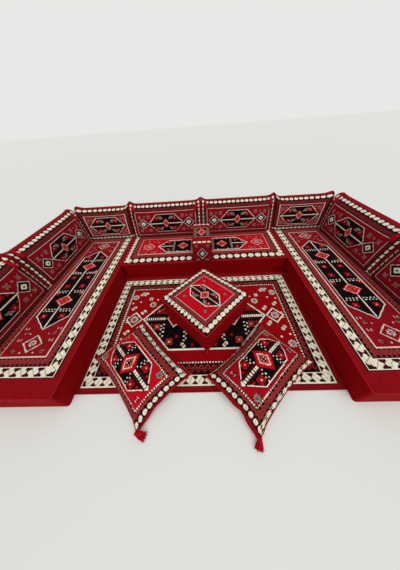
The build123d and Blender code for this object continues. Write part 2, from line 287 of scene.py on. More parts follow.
def paintOutline(dye, depth, width):
    # a cream outline with a black line round it, and black ground within
    paintRings(dye, depth, ((-outlineRim, yarn.black), (0, yarn.cream), (width, yarn.black)))


def paintSmallHeart(dye, x, y, a, b):
    # a thin pale diamond line on crimson, brick red and crimson within it, then an orange diamond and a
    # dark middle
    depth = diamondDepth(x, y, a, b)
    paintRings(dye, depth, ((-6, yarn.crimson), (0, yarn.ivory), (4.5, yarn.bandPale), (10, yarn.crimson)))
    dye[(depth > 13) & (np.abs(x / a) + 0.5 * np.abs(y / b) < 0.30)] = yarn.orange
    dye[np.hypot(x / a, y / b) < 0.16] = yarn.maroon


def paintHeart(dye, x, y, a, b):
    # a crimson diamond with a notched cream outline inside it, an orange cross, and on it a black disc of
    # 0.2 b with four cream dots
    outer, inner = diamondDepth(x, y, a, b), diamondDepth(x, y, a * 0.64, b * 0.70)
    paintRings(dye, outer, ((-3, yarn.maroon), (0, yarn.crimson)))
    dye[inner > 0] = yarn.cream
    dye[(inner > 0) & (inner < 4) & (np.abs(tile(x + y, 12)) < 0.2)] = yarn.maroon
    paintRings(dye, inner, ((6.5, yarn.ember), (12, yarn.crimson)))
    dye[(inner > 9) & ((np.abs(x) < 2.5) | (np.abs(y) < 2.5))] = yarn.orange
    r = b * 0.2
    paintDisc(dye, x, y, r, yarn.black)
    paintDot(dye, np.abs(x) - r * 0.5, np.abs(y) - r * 0.5, r * 0.2, yarn.cream)


def paintPole(dye, x, y, x0, x1, half, pitch, block):
    # a cream pole from x0 to x1 on both sides of the middle, with dark red stripes beside it; where block is
    # under 1, it is the share of each pitch that stays cream
    run = (np.abs(x) > x0) & (np.abs(x) < x1)
    dye[run & (np.abs(y) < half * 2.5) & (np.abs(y) > half * 1.7)] = yarn.maroon
    dye[run & (np.abs(y) < half)] = yarn.cream
    if block < 1:
        dye[run & (np.abs(y) < half) & (np.abs(tile(np.abs(x), pitch)) > block / 2)] = yarn.black


def smallMedallion(dye, x, y, m):
    # the medallion of the pillows, the pouf and the back cushions; its figures are drawn for a half height of
    # 90 mm, and scaled
    tip, half, flat = m["hexagon"]
    depth = hexagonDepth(x, y, tip, half, flat)
    before = dye.copy()
    paintOutline(dye, depth, m["outline"])
    if m["innerLine"]:
        dye[(depth > m["outline"] + 3) & (depth < m["outline"] + 5)] = yarn.maroon
    ax, ay = np.abs(x), np.abs(y)
    paintPole(dye, x, y, m["heart"][0] * 0.8, tip - m["outline"] * 1.6, m["pole"], 16, m["block"])
    scale = half / 90
    paintFlower(dye, ax - 94 * scale, ay - 52 * scale, 23 * scale, yarn.crimson, yarn.cream)
    if m["combs"]:
        lean = (ax - 52 * scale) - 0.8 * (ay - 52 * scale)
        comb = (np.abs(lean) < 22 * scale) & (np.abs(ay - 54 * scale) < 17 * scale)
        tooth = comb & (np.abs(tile(lean, 13 * scale)) < 0.2)
        dye[tooth] = yarn.grey
        dye[tooth & (np.abs(tile(ay, 9 * scale)) < 0.25)] = yarn.ivory
    else:
        spots = np.array([(54, 24), (54, 49), (54, 70), (68, 37), (68, 60), (68, 80)]) * scale
        scatter(paintDot, dye, ax, ay, (3.6 * scale, spots), yarn.cream)
    paintFlower(dye, ax - 132 * scale, ay - 34 * scale, 8 * scale, yarn.crimson, yarn.crimson)
    heart = paintSmallHeart if m["combs"] else paintHeart
    heart(dye, x, y, *m["heart"])
    outside = depth < -outlineRim
    dye[outside] = before[outside]


def rugDye(u, v):
    # the whole rug, u from its middle, v from its front edge
    r = rugChart
    dye = borderDye(u, v, r)
    x, y = u - r["middle"][0], v - r["middle"][1]
    ax, ay = np.abs(x), np.abs(y)
    lean = np.where(x * y > 0, 1, -1)
    inField = dye == yarn.rugField
    scratch = dye.copy()
    scatter(paintRosette, scratch, ax, ay, r["rosettes"], yarn.ivory, yarn.black)
    scatter(paintBlossom, scratch, ax, ay, r["blossoms"], lean)
    scatter(paintFlower, scratch, ax, ay, r["blobs"], yarn.cream, yarn.black)
    scatter(paintDot, scratch, ax, ay, r["specks"], yarn.cream)
    diamondX, diamondA, diamondB = r["diamond"]
    diamond = diamondDepth(ax - diamondX, y, diamondA, diamondB)
    paintRings(scratch, diamond, ((-outlineRim, yarn.black), (0, yarn.cream), (8, yarn.rugField)))
    paintRosette(scratch, ax - diamondX, y, r["diamondRosette"], yarn.ivory, yarn.black)
    depth = hexagonDepth(x, y, *r["medallion"])
    paintOutline(scratch, depth, r["outline"])
    inside = depth > r["outline"] + 4
    inner = scratch.copy()
    paintPole(inner, x, y, *r["pole"])
    scatter(paintFlower, inner, ax, ay, r["flowers"], yarn.ember, yarn.cream)
    scatter(paintFlower, inner, ax, ay, r["smallFlowers"], yarn.crimson, yarn.ember)
    scatter(paintBlossom, inner, ax, ay, r["tanFlowers"], -1)
    scatter(paintDisc, inner, ax, ay, r["tanHearts"], yarn.orange)
    scatter(paintDot, inner, ax, ay, r["dots"], yarn.cream)
    edge = np.interp(ax, *r["starEdge"]) - ay  # the serrated star round the heart
    edge[ax >= r["starEdge"][0][-1]] = -np.inf
    paintRings(inner, edge, ((-10, yarn.maroon), (-3, yarn.cream), (6, yarn.crimson), (14, yarn.rugField)))
    paintHeart(inner, x, y, *r["heart"])
    scatter(paintFlower, inner, ax, y, r["sideFlower"], yarn.orange, yarn.cream)
    scratch[inside] = inner[inside]
    keep = inField | (depth > -outlineRim) | ((diamond > -outlineRim) & (ay < diamondB + 6))
    return np.where(keep, scratch, dye)


rugChart = {
    "panel": (-759, 741, 0, 985),  # the pattern lies 9 mm to the left of the cloth's middle
    "breaks": [  # left, right, front, back: hem, line, chain, line, band, dots, field
        (0, 22, 28, 85, 91, 133, 143), (0, 22, 28, 85, 91, 133, 143),
        (0, 27, 33, 90, 96, 154, 164), (0, 50, 58, 115, 121, 172, 182)],
    "chain": [("chain", 54.5)] * 4, "toothPitch": 38, "bandStyle": "zigzag", "dotPitch": 18,
    "field": yarn.rugField,
    "middle": (-9, 491),
    "medallion": (464, 251, 238), "outline": 10,  # tip, half height and half the flat side
    "pole": (285, 448, 10, 16.6, 0.72),  # from, to, half width, pitch, share of cream
    "heart": (118, 96), "diamond": (531, 67, 69), "diamondRosette": 33,  # half sizes; place and half sizes
    "rosettes": (30, [(412, 141), (575, 226)]),
    "blossoms": (22, [(473, 68), (560, 108), (493, 260), (522, 262)]),
    "blobs": (17, [(438, 203)]),
    "specks": (6, [(522, 174), (380, 190), (585, 20), (585, 160)]),
    "flowers": (28, [(342, 70), (238, 188)]), "sideFlower": (26, [(170, 0)]),
    "tanFlowers": (20, [(141, 216)]), "tanHearts": (7, [(141, 216)]),
    "smallFlowers": (11, [(190, 150), (78, 216), (385, 52), (300, 150)]),
    "dots": (5.2, [(293, 52), (312, 62), (293, 82), (312, 92), (293, 112), (312, 128), (293, 144), (312, 160),
                   (139, 118), (125, 134), (139, 150), (125, 166), (139, 182)]),
    "starEdge": ([0, 50, 90, 130, 165, 190, 205, 222, 273], [100, 62, 84, 48, 62, 48, 61, 73, 0]),
}


def seatDye(u, v, c):
    # a seat's top: u along it from its middle, v back from its front edge. endDiamond is a place and two
    # half sizes; pole a start, an end and the share of cream
    dye = borderDye(u, v, c)
    x, y = u - c["middle"][0], v - c["middle"][1]
    ax, ay = np.abs(x), np.abs(y)
    field = dye == c["field"]
    scratch = dye.copy()
    scatter(paintRosette, scratch, ax, ay, c["rosettes"], yarn.bandPale, yarn.maroon)
    scatter(paintBeam, scratch, ax, ay, c["beams"])
    scatter(paintDot, scratch, ax, ay, c["specks"], yarn.ivory)
    endX, endA, endB = c["endDiamond"]
    paintRings(scratch, diamondDepth(ax - endX, y, endA, endB), (
        (-4, yarn.maroon), (0, yarn.ivory), (7, c["field"])))
    paintRosette(scratch, ax - endX, y, 24, yarn.ivory, yarn.maroon)
    depth = hexagonDepth(x, y, *c["medallion"])
    paintOutline(scratch, depth, c["outline"])
    inner = scratch.copy()
    ground = depth > 12
    inner[ground & (depth < 15)] = yarn.maroon
    poleFrom, poleTo, block = c["pole"]
    paintPole(inner, x, y, poleFrom, poleTo, c["outline"] * 0.75, 16, block)
    for px in c["combs"]:
        off = np.abs(ax - px)
        comb = off < 9
        inner[comb] = yarn.maroon
        inner[comb & ((np.abs(off - 6) < 2.4) | (np.abs(tile(ay, 14)) < 0.22))] = yarn.grey
    paintSmallHeart(inner, ax - c["heartX"], y, *c["heart"])
    scatter(paintFlower, inner, ax, ay, c["flowers"], yarn.crimson, yarn.ivory)
    scatter(paintDot, inner, ax, ay, c["dots"], yarn.cream)
    scratch[ground] = inner[ground]
    return np.where(field | (depth > -outlineRim), scratch, dye)


def dotRows(places):
    # a row of four slanted pairs of white dots at each place, 22 mm apart
    return [(px + 8 * side, py + 22 * (k - 1.5) + 3 * side)
            for px, py in places for k in range(4) for side in (-1, 1)]


centreSeatChart = {
    "panel": (-750, 750, 0, 660),
    "breaks": [(0, 10, 14, 52, 56, 112, 117), (0, 10, 14, 52, 56, 112, 117),
               (0, 20, 26, 84, 90, 140, 147), (0, 100, 106, 150, 156, 235, 240)],
    "chain": [("disc", 50), ("disc", 50), ("oval", 63), ("disc", 54.5)],
    "toothPitch": 30, "bandStyle": "steps", "dotPitch": 0, "field": yarn.crimson,
    "middle": (0, 271), "medallion": (450, 111, 352), "outline": 7,
    "endDiamond": (540, 64, 63), "pole": (300, 430, 0.75), "combs": (287, 108),
    "heartX": 196, "heart": (50, 54), "flowers": (21, [(340, 62), (60, 60)]),
    "rosettes": (15, [(500, 92), (600, 84)]), "beams": (15, [(470, 104), (560, 100)]),
    "specks": (4, [(450, 78), (590, 40)]),
    "dots": (4.6, [(392, 30), (405, 42), (318, 96), (335, 96), (150, 92), (245, 92)]),
}
sideSeatChart = {
    "panel": (-850, 850, 0, 660),
    "breaks": [(0, 92, 98, 150, 156, 202, 208), (0, 86, 92, 144, 158, 244, 250),
               (0, 32, 40, 98, 105, 148, 154), (0, 90, 96, 150, 156, 222, 228)],
    "chain": [("chain", 67)] * 4, "toothPitch": 26, "bandStyle": "steps", "dotPitch": 0,
    "field": yarn.field, "middle": (-20, 289), "medallion": (452, 118, 345), "outline": 6,
    "endDiamond": (542, 58, 64), "pole": (0, 436, 1), "combs": (),
    "heartX": 203, "heart": (50, 58), "flowers": (21, [(343, 64), (52, 62), (130, 96)]),
    "rosettes": (15, [(470, 92), (590, 88)]), "beams": (15, [(520, 98), (440, 108)]),
    "specks": (4, [(600, 40), (478, 60)]),
    "dots": (4.6, dotRows([(112, 66), (292, 58)])),
}


def backDye(u, v, c):
    # a back cushion's front: u along it from its middle, v up the cloth from its foot
    dye = borderDye(u, v, c)
    x, y = u, v - c["middle"]
    ax, ay = np.abs(x), np.abs(y)
    field = dye == c["field"]
    scratch = dye.copy()
    scatter(paintFlower, scratch, ax, ay, c["flowers"], yarn.rose, yarn.grey)
    size, places = c["slantedDots"]
    for px, py in places:
        paintDot(scratch, ax + 0.6 * ay - (px + 0.6 * py), ay - py, size, yarn.rose)
    if c["endDiamond"]:
        endX, endA, endB = c["endDiamond"]
        paintRings(scratch, diamondDepth(ax - endX, y, endA, endB), (
            (-3, yarn.maroon), (0, yarn.ivory), (5, yarn.black), (21, yarn.cream), (33, yarn.black)))
    smallMedallion(scratch, x, y, c["medallion"])
    return np.where(field | (hexagonDepth(x, y, *c["medallion"]["hexagon"]) > -outlineRim), scratch, dye)


backMedallion = {"hexagon": (186, 90, 98), "outline": 4, "innerLine": False, "pole": 4, "block": 1,
                 "combs": True, "heart": (30, 42)}
longBackChart = {
    "panel": (-375, 375, 0, 410),
    "breaks": [(0, 9, 11, 25, 28, 56, 61), (0, 9, 11, 25, 28, 56, 61),
               (0, 1, 2, 3, 4, 28, 33), (0, 52, 58, 96, 101, 140, 145)],
    "chain": [("oval", 36), ("oval", 36), ("oval", 42), ("oval", 45)],
    "toothPitch": 22, "bandStyle": "dark", "dotPitch": 0, "field": yarn.field, "middle": 150,
    "medallion": backMedallion, "endDiamond": (241, 60, 51),
    "flowers": (20, [(272, 66), (178, 70)]), "slantedDots": (7, [(224, 72)]),
}
shortBackChart = longBackChart | {
    "panel": (-250, 250, 0, 410),
    "breaks": [(0, 4, 7, 8, 9, 46, 51), (0, 4, 7, 8, 9, 46, 51),
               (0, 6, 9, 33, 36, 52, 56), (0, 52, 58, 96, 101, 140, 145)],
    "middle": 160, "endDiamond": None,
    "flowers": (20, [(168, 70)]), "slantedDots": (7, [(134, 80), (184, 40)]),
}


def pillowDye(u, v, c):
    # a pillow's or the pouf's top: rosettes in its corners, and in two of a pillow's corners beams instead
    dye = borderDye(u, v, c)
    x, y = u - c["middle"][0], v - c["middle"][1]
    ax, ay = np.abs(x), np.abs(y)
    field = dye == c["field"]
    rosettes, beams = dye.copy(), dye.copy()
    scatter(paintRosette, rosettes, ax, ay, c["rosettes"], yarn.grey, yarn.maroon)
    scatter(paintBeam, beams, ax, ay, c["beams"])
    scratch = np.where((x * y <= 0) & c["twoBeams"], beams, rosettes)
    smallMedallion(scratch, x, y, c["medallion"])
    return np.where(field | (hexagonDepth(x, y, *c["medallion"]["hexagon"]) > -outlineRim), scratch, dye)


pillowChart = {
    "panel": (-276, 276, -212, 212),
    "breaks": [(0, 14, 18, 44, 48, 70, 77), (0, 14, 18, 44, 48, 70, 77),
               (0, 14, 18, 46, 50, 98, 105), (0, 14, 18, 46, 50, 98, 105)],
    "chain": [("oval", 35), ("oval", 35), ("chain", 47), ("chain", 47)],
    "toothPitch": 27, "bandStyle": "steps", "dotPitch": 13,  # field and middle differ from pillow to pillow
    "rosettes": (21, [(170, 84)]), "beams": (16, [(172, 66)]), "twoBeams": True,
    "medallion": {"hexagon": (187, 90, 99), "outline": 5.6, "innerLine": True, "pole": 8, "block": 0.72,
                  "combs": False, "heart": (56, 70)},
}
poufChart = {
    "panel": (-227.5, 227.5, 0, 455),
    "breaks": [(0, 8, 12, 44, 48, 78, 82)] * 4,
    "chain": [("disc", 38), ("disc", 38), ("chain", 34), ("disc", 38)],
    "toothPitch": 22, "bandStyle": "steps", "dotPitch": 0, "field": yarn.crimson, "middle": (0, 227.5),
    "rosettes": (13, [(100, 100)]), "beams": (16, []), "twoBeams": False,
    "medallion": {"hexagon": (148, 72, 76), "outline": 7, "innerLine": True, "pole": 5, "block": 0.7,
                  "combs": True, "heart": (34, 40)},
}
armrestChart = {
    "width": 165, "edge": 8.5, "dashRows": (-168, 152), "dashPitch": 41.25, "box": (87, 73, 46),
    "diamond": (60, 38),
    "face": {"diamond": (84, 46, 58), "flowers": (15, [(48, 158), (42, 20)])},
}


def armrestDye(u, v):
    # the top: a row of cream dashes near each end; between them a grey box with barred sides and a diamond
    c = armrestChart
    x, y = u, v - c["width"] / 2
    ax, ay = np.abs(x), np.abs(y)
    dye = np.full(u.shape, yarn.hem)
    dye[ay < c["width"] / 2 - c["edge"]] = yarn.field
    pitch, cloth = c["dashPitch"], ay < c["width"] / 2 - 4.5
    for row in c["dashRows"]:
        near = (np.abs(x - row) < 9) & cloth
        dye[near] = np.where(np.abs(tile(y[near] + pitch / 2, pitch)) < 0.36, yarn.cream, yarn.maroon)
        dye[(np.abs(np.abs(x - row) - 13) < 2.5) & cloth] = yarn.bandPale
    long, wide, inner = c["box"]
    box, bars = (ax < long) & (ay < wide), ax < long - 7
    dye[box] = yarn.grey
    dye[box & bars & (ay > inner + 5) & (np.abs(tile(x, 36)) < 0.27)] = yarn.black
    dye[bars & (ay < inner)] = yarn.maroon
    paintSmallHeart(dye, x, y, *c["diamond"])
    return dye


def armrestFrontDye(across, up):
    # the front end: a black and white diamond between small flowers on dark red
    face = armrestChart["face"]
    dye = np.full(across.shape, yarn.field)
    scatter(paintFlower, dye, np.abs(across), up, face["flowers"], yarn.rose, yarn.grey)
    middle, a, b = face["diamond"]
    paintRings(dye, diamondDepth(across, up - middle, a, b), (
        (-3, yarn.maroon), (0, yarn.ivory), (5, yarn.black), (20, yarn.cream), (30, yarn.black)))
    return dye


print("materials")


def add(tree, kind, inputs=(), **settings):
    # one node with its settings; an input is a value, or another node's socket to link from
    node = tree.nodes.new(kind)
    for key, value in settings.items():
        setattr(node, key, value)
    for key, value in dict(inputs).items():
        if isinstance(value, bpy.types.NodeSocket):
            tree.links.new(value, node.inputs[key])
        else:
            node.inputs[key].default_value = value
    return node


def newMaterial(name):
    # a material that is no metal, with its node tree and its shader
    material = bpy.data.materials.new(name)
    material.use_nodes = True
    tree = material.node_tree
    shader = tree.nodes["Principled BSDF"]
    shader.inputs["Metallic"].default_value = 0
    return material, tree, shader


def colour(hexCode):
    # a shader socket's colour
    return (*linear(hexCode), 1)


def dyedCloth(name, rough, sheen, tint, rib, ribDepth, nap):
    # colour: the yarn's dye, lighter and darker by a few percent over 2 to 40 mm, as hand-dyed wool is;
    # bump: ribs across and along, rib mm apart, and a fuzz of nap mm
    material, tree, shader = newMaterial(name)
    shader.inputs["Roughness"].default_value = rough
    shader.inputs["Sheen Weight"].default_value = sheen
    shader.inputs["Sheen Roughness"].default_value = 0.4
    shader.inputs["Sheen Tint"].default_value = colour(tint)
    shader.inputs["Specular IOR Level"].default_value = 0.05
    dye = add(tree, "ShaderNodeAttribute", attribute_name="dye")
    uv = add(tree, "ShaderNodeUVMap", uv_map="cloth")
    patches = add(tree, "ShaderNodeTexNoise", {"Vector": uv.outputs["UV"], "Scale": 26.0, "Detail": 4.0})
    fuzz = add(tree, "ShaderNodeTexNoise", {"Vector": uv.outputs["UV"], "Scale": 1 / (nap * mm),
                                            "Detail": 2.0})
    both = add(tree, "ShaderNodeMath", {0: patches.outputs["Fac"], 1: fuzz.outputs["Fac"]}, operation="ADD")
    shade = add(tree, "ShaderNodeMapRange", {"Value": both.outputs[0], "From Min": 0.6, "From Max": 1.4,
                                             "To Min": 0.74, "To Max": 1.22})
    dyed = add(tree, "ShaderNodeVectorMath", {0: dye.outputs["Color"], "Scale": shade.outputs[0]},
               operation="SCALE")
    tree.links.new(dyed.outputs[0], shader.inputs["Base Color"])
    split = add(tree, "ShaderNodeSeparateXYZ", {"Vector": uv.outputs["UV"]})
    waves = []
    for axis, pitch in (("X", rib), ("Y", rib * 0.7)):
        turn = add(tree, "ShaderNodeMath", {0: split.outputs[axis], 1: 2 * math.pi / (pitch * mm)},
                   operation="MULTIPLY")
        waves.append(add(tree, "ShaderNodeMath", {0: turn.outputs[0]}, operation="SINE"))
    weave = add(tree, "ShaderNodeMath", {0: waves[0].outputs[0], 1: waves[1].outputs[0]},
                operation="MULTIPLY")
    mixed = add(tree, "ShaderNodeMath", {0: weave.outputs[0], 1: 0.35, 2: fuzz.outputs["Fac"]},
                operation="MULTIPLY_ADD")
    bump = add(tree, "ShaderNodeBump", {"Height": mixed.outputs[0], "Distance": ribDepth * mm,
                                        "Strength": 0.8})
    tree.links.new(bump.outputs[0], shader.inputs["Normal"])
    return material


# Chenille on a kilim ground: soft, slightly raised yarn, so it is matt with a faint sheen
chenille = dyedCloth("wovenKilimChenille", 0.9, 0.02, "#e08080", 5.0, 1.2, 2.5)
# Velvet: a cut pile that looks dark face on and brightens at grazing angles
velvet = dyedCloth("cutPileVelvet", 0.8, 0.16, "#ff2030", 1.6, 0.4, 1.2)
# The rug: flat kilim with a low pile
rugWool = dyedCloth("flatWovenWool", 0.92, 0.03, "#e08080", 5.0, 1.0, 2.0)


def yarnMaterial(name, hexCode, grooveShadeHex, pitch, rough, sheen):
    # twisted yarn: colour runs in slanting strands, one each pitch mm of the piece's own length; where a
    # strand's surface dips towards the groove, the colour is painted darker as painted shade
    material, tree, shader = newMaterial(name)
    shader.inputs["Roughness"].default_value = rough
    shader.inputs["Sheen Weight"].default_value = sheen
    shader.inputs["Sheen Tint"].default_value = colour(hexCode)
    shader.inputs["Specular IOR Level"].default_value = 0.1
    uv = add(tree, "ShaderNodeUVMap", uv_map="cloth")
    split = add(tree, "ShaderNodeSeparateXYZ", {"Vector": uv.outputs["UV"]})
    run = add(tree, "ShaderNodeMath", {0: split.outputs["X"], 1: 1 / (pitch * mm), 2: split.outputs["Y"]},
              operation="MULTIPLY_ADD")
    strand = add(tree, "ShaderNodeMath", {0: run.outputs[0]}, operation="FRACT")
    hill = add(tree, "ShaderNodeMath", {0: strand.outputs[0], 1: 0.5, 2: 0.5}, operation="PINGPONG")
    noise = add(tree, "ShaderNodeTexNoise", {"Scale": 400.0, "Detail": 2.0,
                                             "Vector": add(tree, "ShaderNodeTexCoord").outputs["Object"]})
    level = add(tree, "ShaderNodeMath", {0: hill.outputs[0], 1: noise.outputs["Fac"]}, operation="ADD")
    # painted shade: the lower the surface, the nearer the darker colour, as in the grooves between strands
    ramp = add(tree, "ShaderNodeValToRGB", {"Fac": level.outputs[0]})
    for stop, shade, at in zip(ramp.color_ramp.elements, (grooveShadeHex, hexCode), (0.35, 0.75)):
        stop.color, stop.position = colour(shade), at
    tree.links.new(ramp.outputs[0], shader.inputs["Base Color"])
    bump = add(tree, "ShaderNodeBump", {"Height": level.outputs[0], "Distance": 0.8 * mm, "Strength": 0.6})
    tree.links.new(bump.outputs[0], shader.inputs["Normal"])
    return material


# Piping: a cord in red cloth; tassels: soft spun yarn, brighter than the velvet. The second, darker colour of
# each yarn below is painted shade in the grooves of the twist
pipingCloth = yarnMaterial("clothCoveredPiping", "#a8101c", "#7a0811", 6, 0.8, 0.15)
tasselYarn = yarnMaterial("spunTasselYarn", "#c20c20", "#7c0512", 3, 0.85, 0.15)
bindingTape = yarnMaterial("wovenBindingTape", "#7c0a14", "#52050b", 2.2, 0.85, 0.05)


def metalMaterial(name, hexCode, rough, scratch):
    # nickel-plated zinc: bright, with fine rub marks
    material, tree, shader = newMaterial(name)
    shader.inputs["Metallic"].default_value = 1
    at = add(tree, "ShaderNodeTexCoord")
    noise = add(tree, "ShaderNodeTexNoise", {"Vector": at.outputs["Object"], "Scale": 900.0, "Detail": 3.0})
    tone = add(tree, "ShaderNodeMix", {"Factor": noise.outputs["Fac"], 6: colour(hexCode),
                                       7: colour("#8f8b84")}, data_type="RGBA")
    tree.links.new(tone.outputs[2], shader.inputs["Base Color"])
    gloss = add(tree, "ShaderNodeMapRange", {"Value": noise.outputs["Fac"], "To Min": rough,
                                             "To Max": rough + scratch})
    tree.links.new(gloss.outputs[0], shader.inputs["Roughness"])
    return material


def plainMaterial(name, hexCode, rough):
    # one even colour and gloss
    material, _, shader = newMaterial(name)
    shader.inputs["Base Color"].default_value = colour(hexCode)
    shader.inputs["Roughness"].default_value = rough
    return material


zipNickel = metalMaterial("nickelPlatedZinc", "#cdc8be", 0.28, 0.2)
# Moulded nylon teeth: smooth and dark, with a soft gloss
zipNylon = plainMaterial("dyedNylonZip", "#3a0a0e", 0.38)

print("mesh tools")


def newPiece(name, *materials):
    # an object of the scene whose mesh is still empty
    mesh = bpy.data.meshes.new(name)
    for material in materials:
        mesh.materials.append(material)
    piece = bpy.data.objects.new(name, mesh)
    scene.collection.objects.link(piece)
    return piece, mesh


def clothMesh(name, points, uMap, vMap, dye, materials, closed=False):
    # points[i, j] in mm: rings i along the piece, j round it; the first and last rings are capped.
    # uMap and vMap have one more column than points, so that the map doesn't run back round the seam
    n, m = points.shape[:2]
    index = np.arange(n * m).reshape(n, m)
    beside = np.roll(index, -1, 1)
    rows = n if closed else n - 1
    quads = np.stack([index, beside, np.roll(beside, -1, 0), np.roll(index, -1, 0)], -1)[:rows].reshape(-1, 4)
    uvRows = np.stack([uMap, vMap], -1)
    up = np.roll(uvRows, -1, 0)
    if closed:  # round a loop the map goes on past the last ring
        up[-1, :, 0] = uvRows[-1, :, 0] + (uvRows[1, :, 0] - uvRows[0, :, 0])
    corners = np.stack([uvRows[:, :-1], uvRows[:, 1:], up[:, 1:], up[:, :-1]], 2)[:rows].reshape(-1, 2)
    dyes = dye.reshape(-1)
    a, b, c, d = (points.reshape(-1, 3)[quads[:, k]] for k in range(4))
    volume = (np.einsum("ij,ij->i", a, np.cross(b, c)) + np.einsum("ij,ij->i", a, np.cross(c, d))).sum()
    loops, counts = quads.reshape(-1), np.full(len(quads), 4)
    if not closed:
        first, last = index[0][::-1], index[-1]
        loops = np.concatenate([loops, first, last])
        counts = np.concatenate([counts, [m, m]])
        ends = np.concatenate([uvRows[0, :-1][::-1], uvRows[-1, :-1]])
        corners = np.concatenate([corners, ends])
        dyes = np.concatenate([dyes, [dyes[0], dyes[-1]]])
    starts = np.concatenate([[0], np.cumsum(counts)[:-1]])
    if volume < 0:  # turn each face round, so that the normals point outwards
        owner = np.repeat(np.arange(len(counts)), counts)
        order = 2 * starts[owner] + counts[owner] - 1 - np.arange(len(loops))
        loops, corners = loops[order], corners[order]
    piece, mesh = newPiece(name, *materials)
    mesh.vertices.add(n * m)
    mesh.vertices.foreach_set("co", (points * mm).reshape(-1))
    mesh.loops.add(len(loops))
    mesh.loops.foreach_set("vertex_index", loops.astype(np.int32))
    mesh.polygons.add(len(counts))
    mesh.polygons.foreach_set("loop_start", starts.astype(np.int32))
    mesh.uv_layers.new(name="cloth").data.foreach_set("uv", (corners * mm).reshape(-1))
    rgba = np.ones((len(counts), 4))
    strength = 1 + 0.05 * rng.standard_normal(len(counts))  # no two stitches take the dye alike
    rgba[:, :3] = yarnColours[dyes] * strength[:, None]
    tint = mesh.attributes.new("dye", "FLOAT_COLOR", "FACE")
    tint.data.foreach_set("color", np.clip(rgba, 0, 1).reshape(-1))
    if len(materials) > 1:
        mesh.polygons.foreach_set("material_index", (dyes == yarn.velvet).astype(np.int32))
    mesh.polygons.foreach_set("use_smooth", np.ones(len(counts), bool))
    mesh.update(calc_edges=True)
    mesh.validate()
    return piece


def sharpen(piece, degrees):
    # edges that turn by more than this stay sharp under smooth shading
    piece.data.set_sharp_from_angle(angle=math.radians(degrees))


def middles(values):
    # halfway between neighbours along the first axis
    return (values[:-1] + values[1:]) / 2


def faceMiddles(q, r):
    # the chart's places: the middle of each face of the grid q by r
    return np.meshgrid(middles(q), middles(r), indexing="ij")


def blendWeights(coarse, fine, wrap=0.0):
    # Catmull-Rom weights: each fine place from its four coarse neighbours; wrap is the length of a full turn
    count = len(coarse)
    ring = np.append(coarse, coarse[0] + wrap) if wrap else coarse
    i = np.clip(np.searchsorted(ring, fine, "right") - 1, 0, len(ring) - 2)
    t = (fine - ring[i]) / (ring[i + 1] - ring[i])
    parts = [(-t ** 3 + 2 * t ** 2 - t) / 2, (3 * t ** 3 - 5 * t ** 2 + 2) / 2,
             (-3 * t ** 3 + 4 * t ** 2 + t) / 2, (t ** 3 - t ** 2) / 2]
    weights = np.zeros((len(fine), count))
    for k, part in enumerate(parts):
        j = (i + k - 1) % count if wrap else np.clip(i + k - 1, 0, count - 1)
        np.add.at(weights, (np.arange(len(fine)), j), part)
    return weights


def onFineGrid(shift, coarseLines, fineLines, wrap):
    # a coarse grid's shift at every place of the fine one, smoothly along it and round it
    along, around = (blendWeights(c, f, w) for c, f, w in zip(coarseLines, fineLines, (0.0, wrap)))
    return np.einsum("ik,jl,klc->ijc", along, around, shift, optimize=True)


simulation = {"frames": 20, "pressure": 4.0, "tension": 12.0, "bending": 0.4, "mass": 0.3, "quality": 6}


def puff(points, cap):
    # how far each point of a coarse cushion moves when its cover is blown up, in mm, and cap mm at most
    n, m = points.shape[:2]
    flat = np.zeros((n, m + 1))
    piece = clothMesh("settling", points, flat, flat, np.zeros((n - 1, m), int), [velvet])
    cloth = piece.modifiers.new("Cloth", "CLOTH")
    s = cloth.settings
    s.quality, s.mass = simulation["quality"], simulation["mass"]
    s.tension_stiffness = s.compression_stiffness = simulation["tension"]
    s.bending_stiffness = simulation["bending"]
    s.use_pressure, s.uniform_pressure_force = True, simulation["pressure"]
    s.effector_weights.gravity = 0
    cloth.point_cache.frame_end = simulation["frames"]
    for f in range(1, simulation["frames"] + 1):
        scene.frame_set(f)
    graph = bpy.context.evaluated_depsgraph_get()
    moved = piece.evaluated_get(graph).to_mesh()
    co = np.empty(len(moved.vertices) * 3)
    moved.vertices.foreach_get("co", co)
    piece.evaluated_get(graph).to_mesh_clear()
    bpy.data.objects.remove(piece)
    scene.frame_set(1)
    shift = co.reshape(points.shape) / mm - points
    shift -= shift.reshape(-1, 3).mean(0)
    length = np.linalg.norm(shift, axis=2, keepdims=True)
    return shift * np.minimum(1, cap / np.maximum(length, 1e-6))


def place(points, turn, at):
    # turned by turn degrees about z, then moved to at, in mm
    c, s = math.cos(math.radians(turn)), math.sin(math.radians(turn))
    return points @ np.array([[c, s, 0], [-s, c, 0], [0, 0, 1]]) + np.array(at)


def spread(*runs):
    # one run after another of evenly spaced values; the next run starts where the last one ended
    return np.concatenate([np.linspace(a, b, n, endpoint=False) for a, b, n in runs])


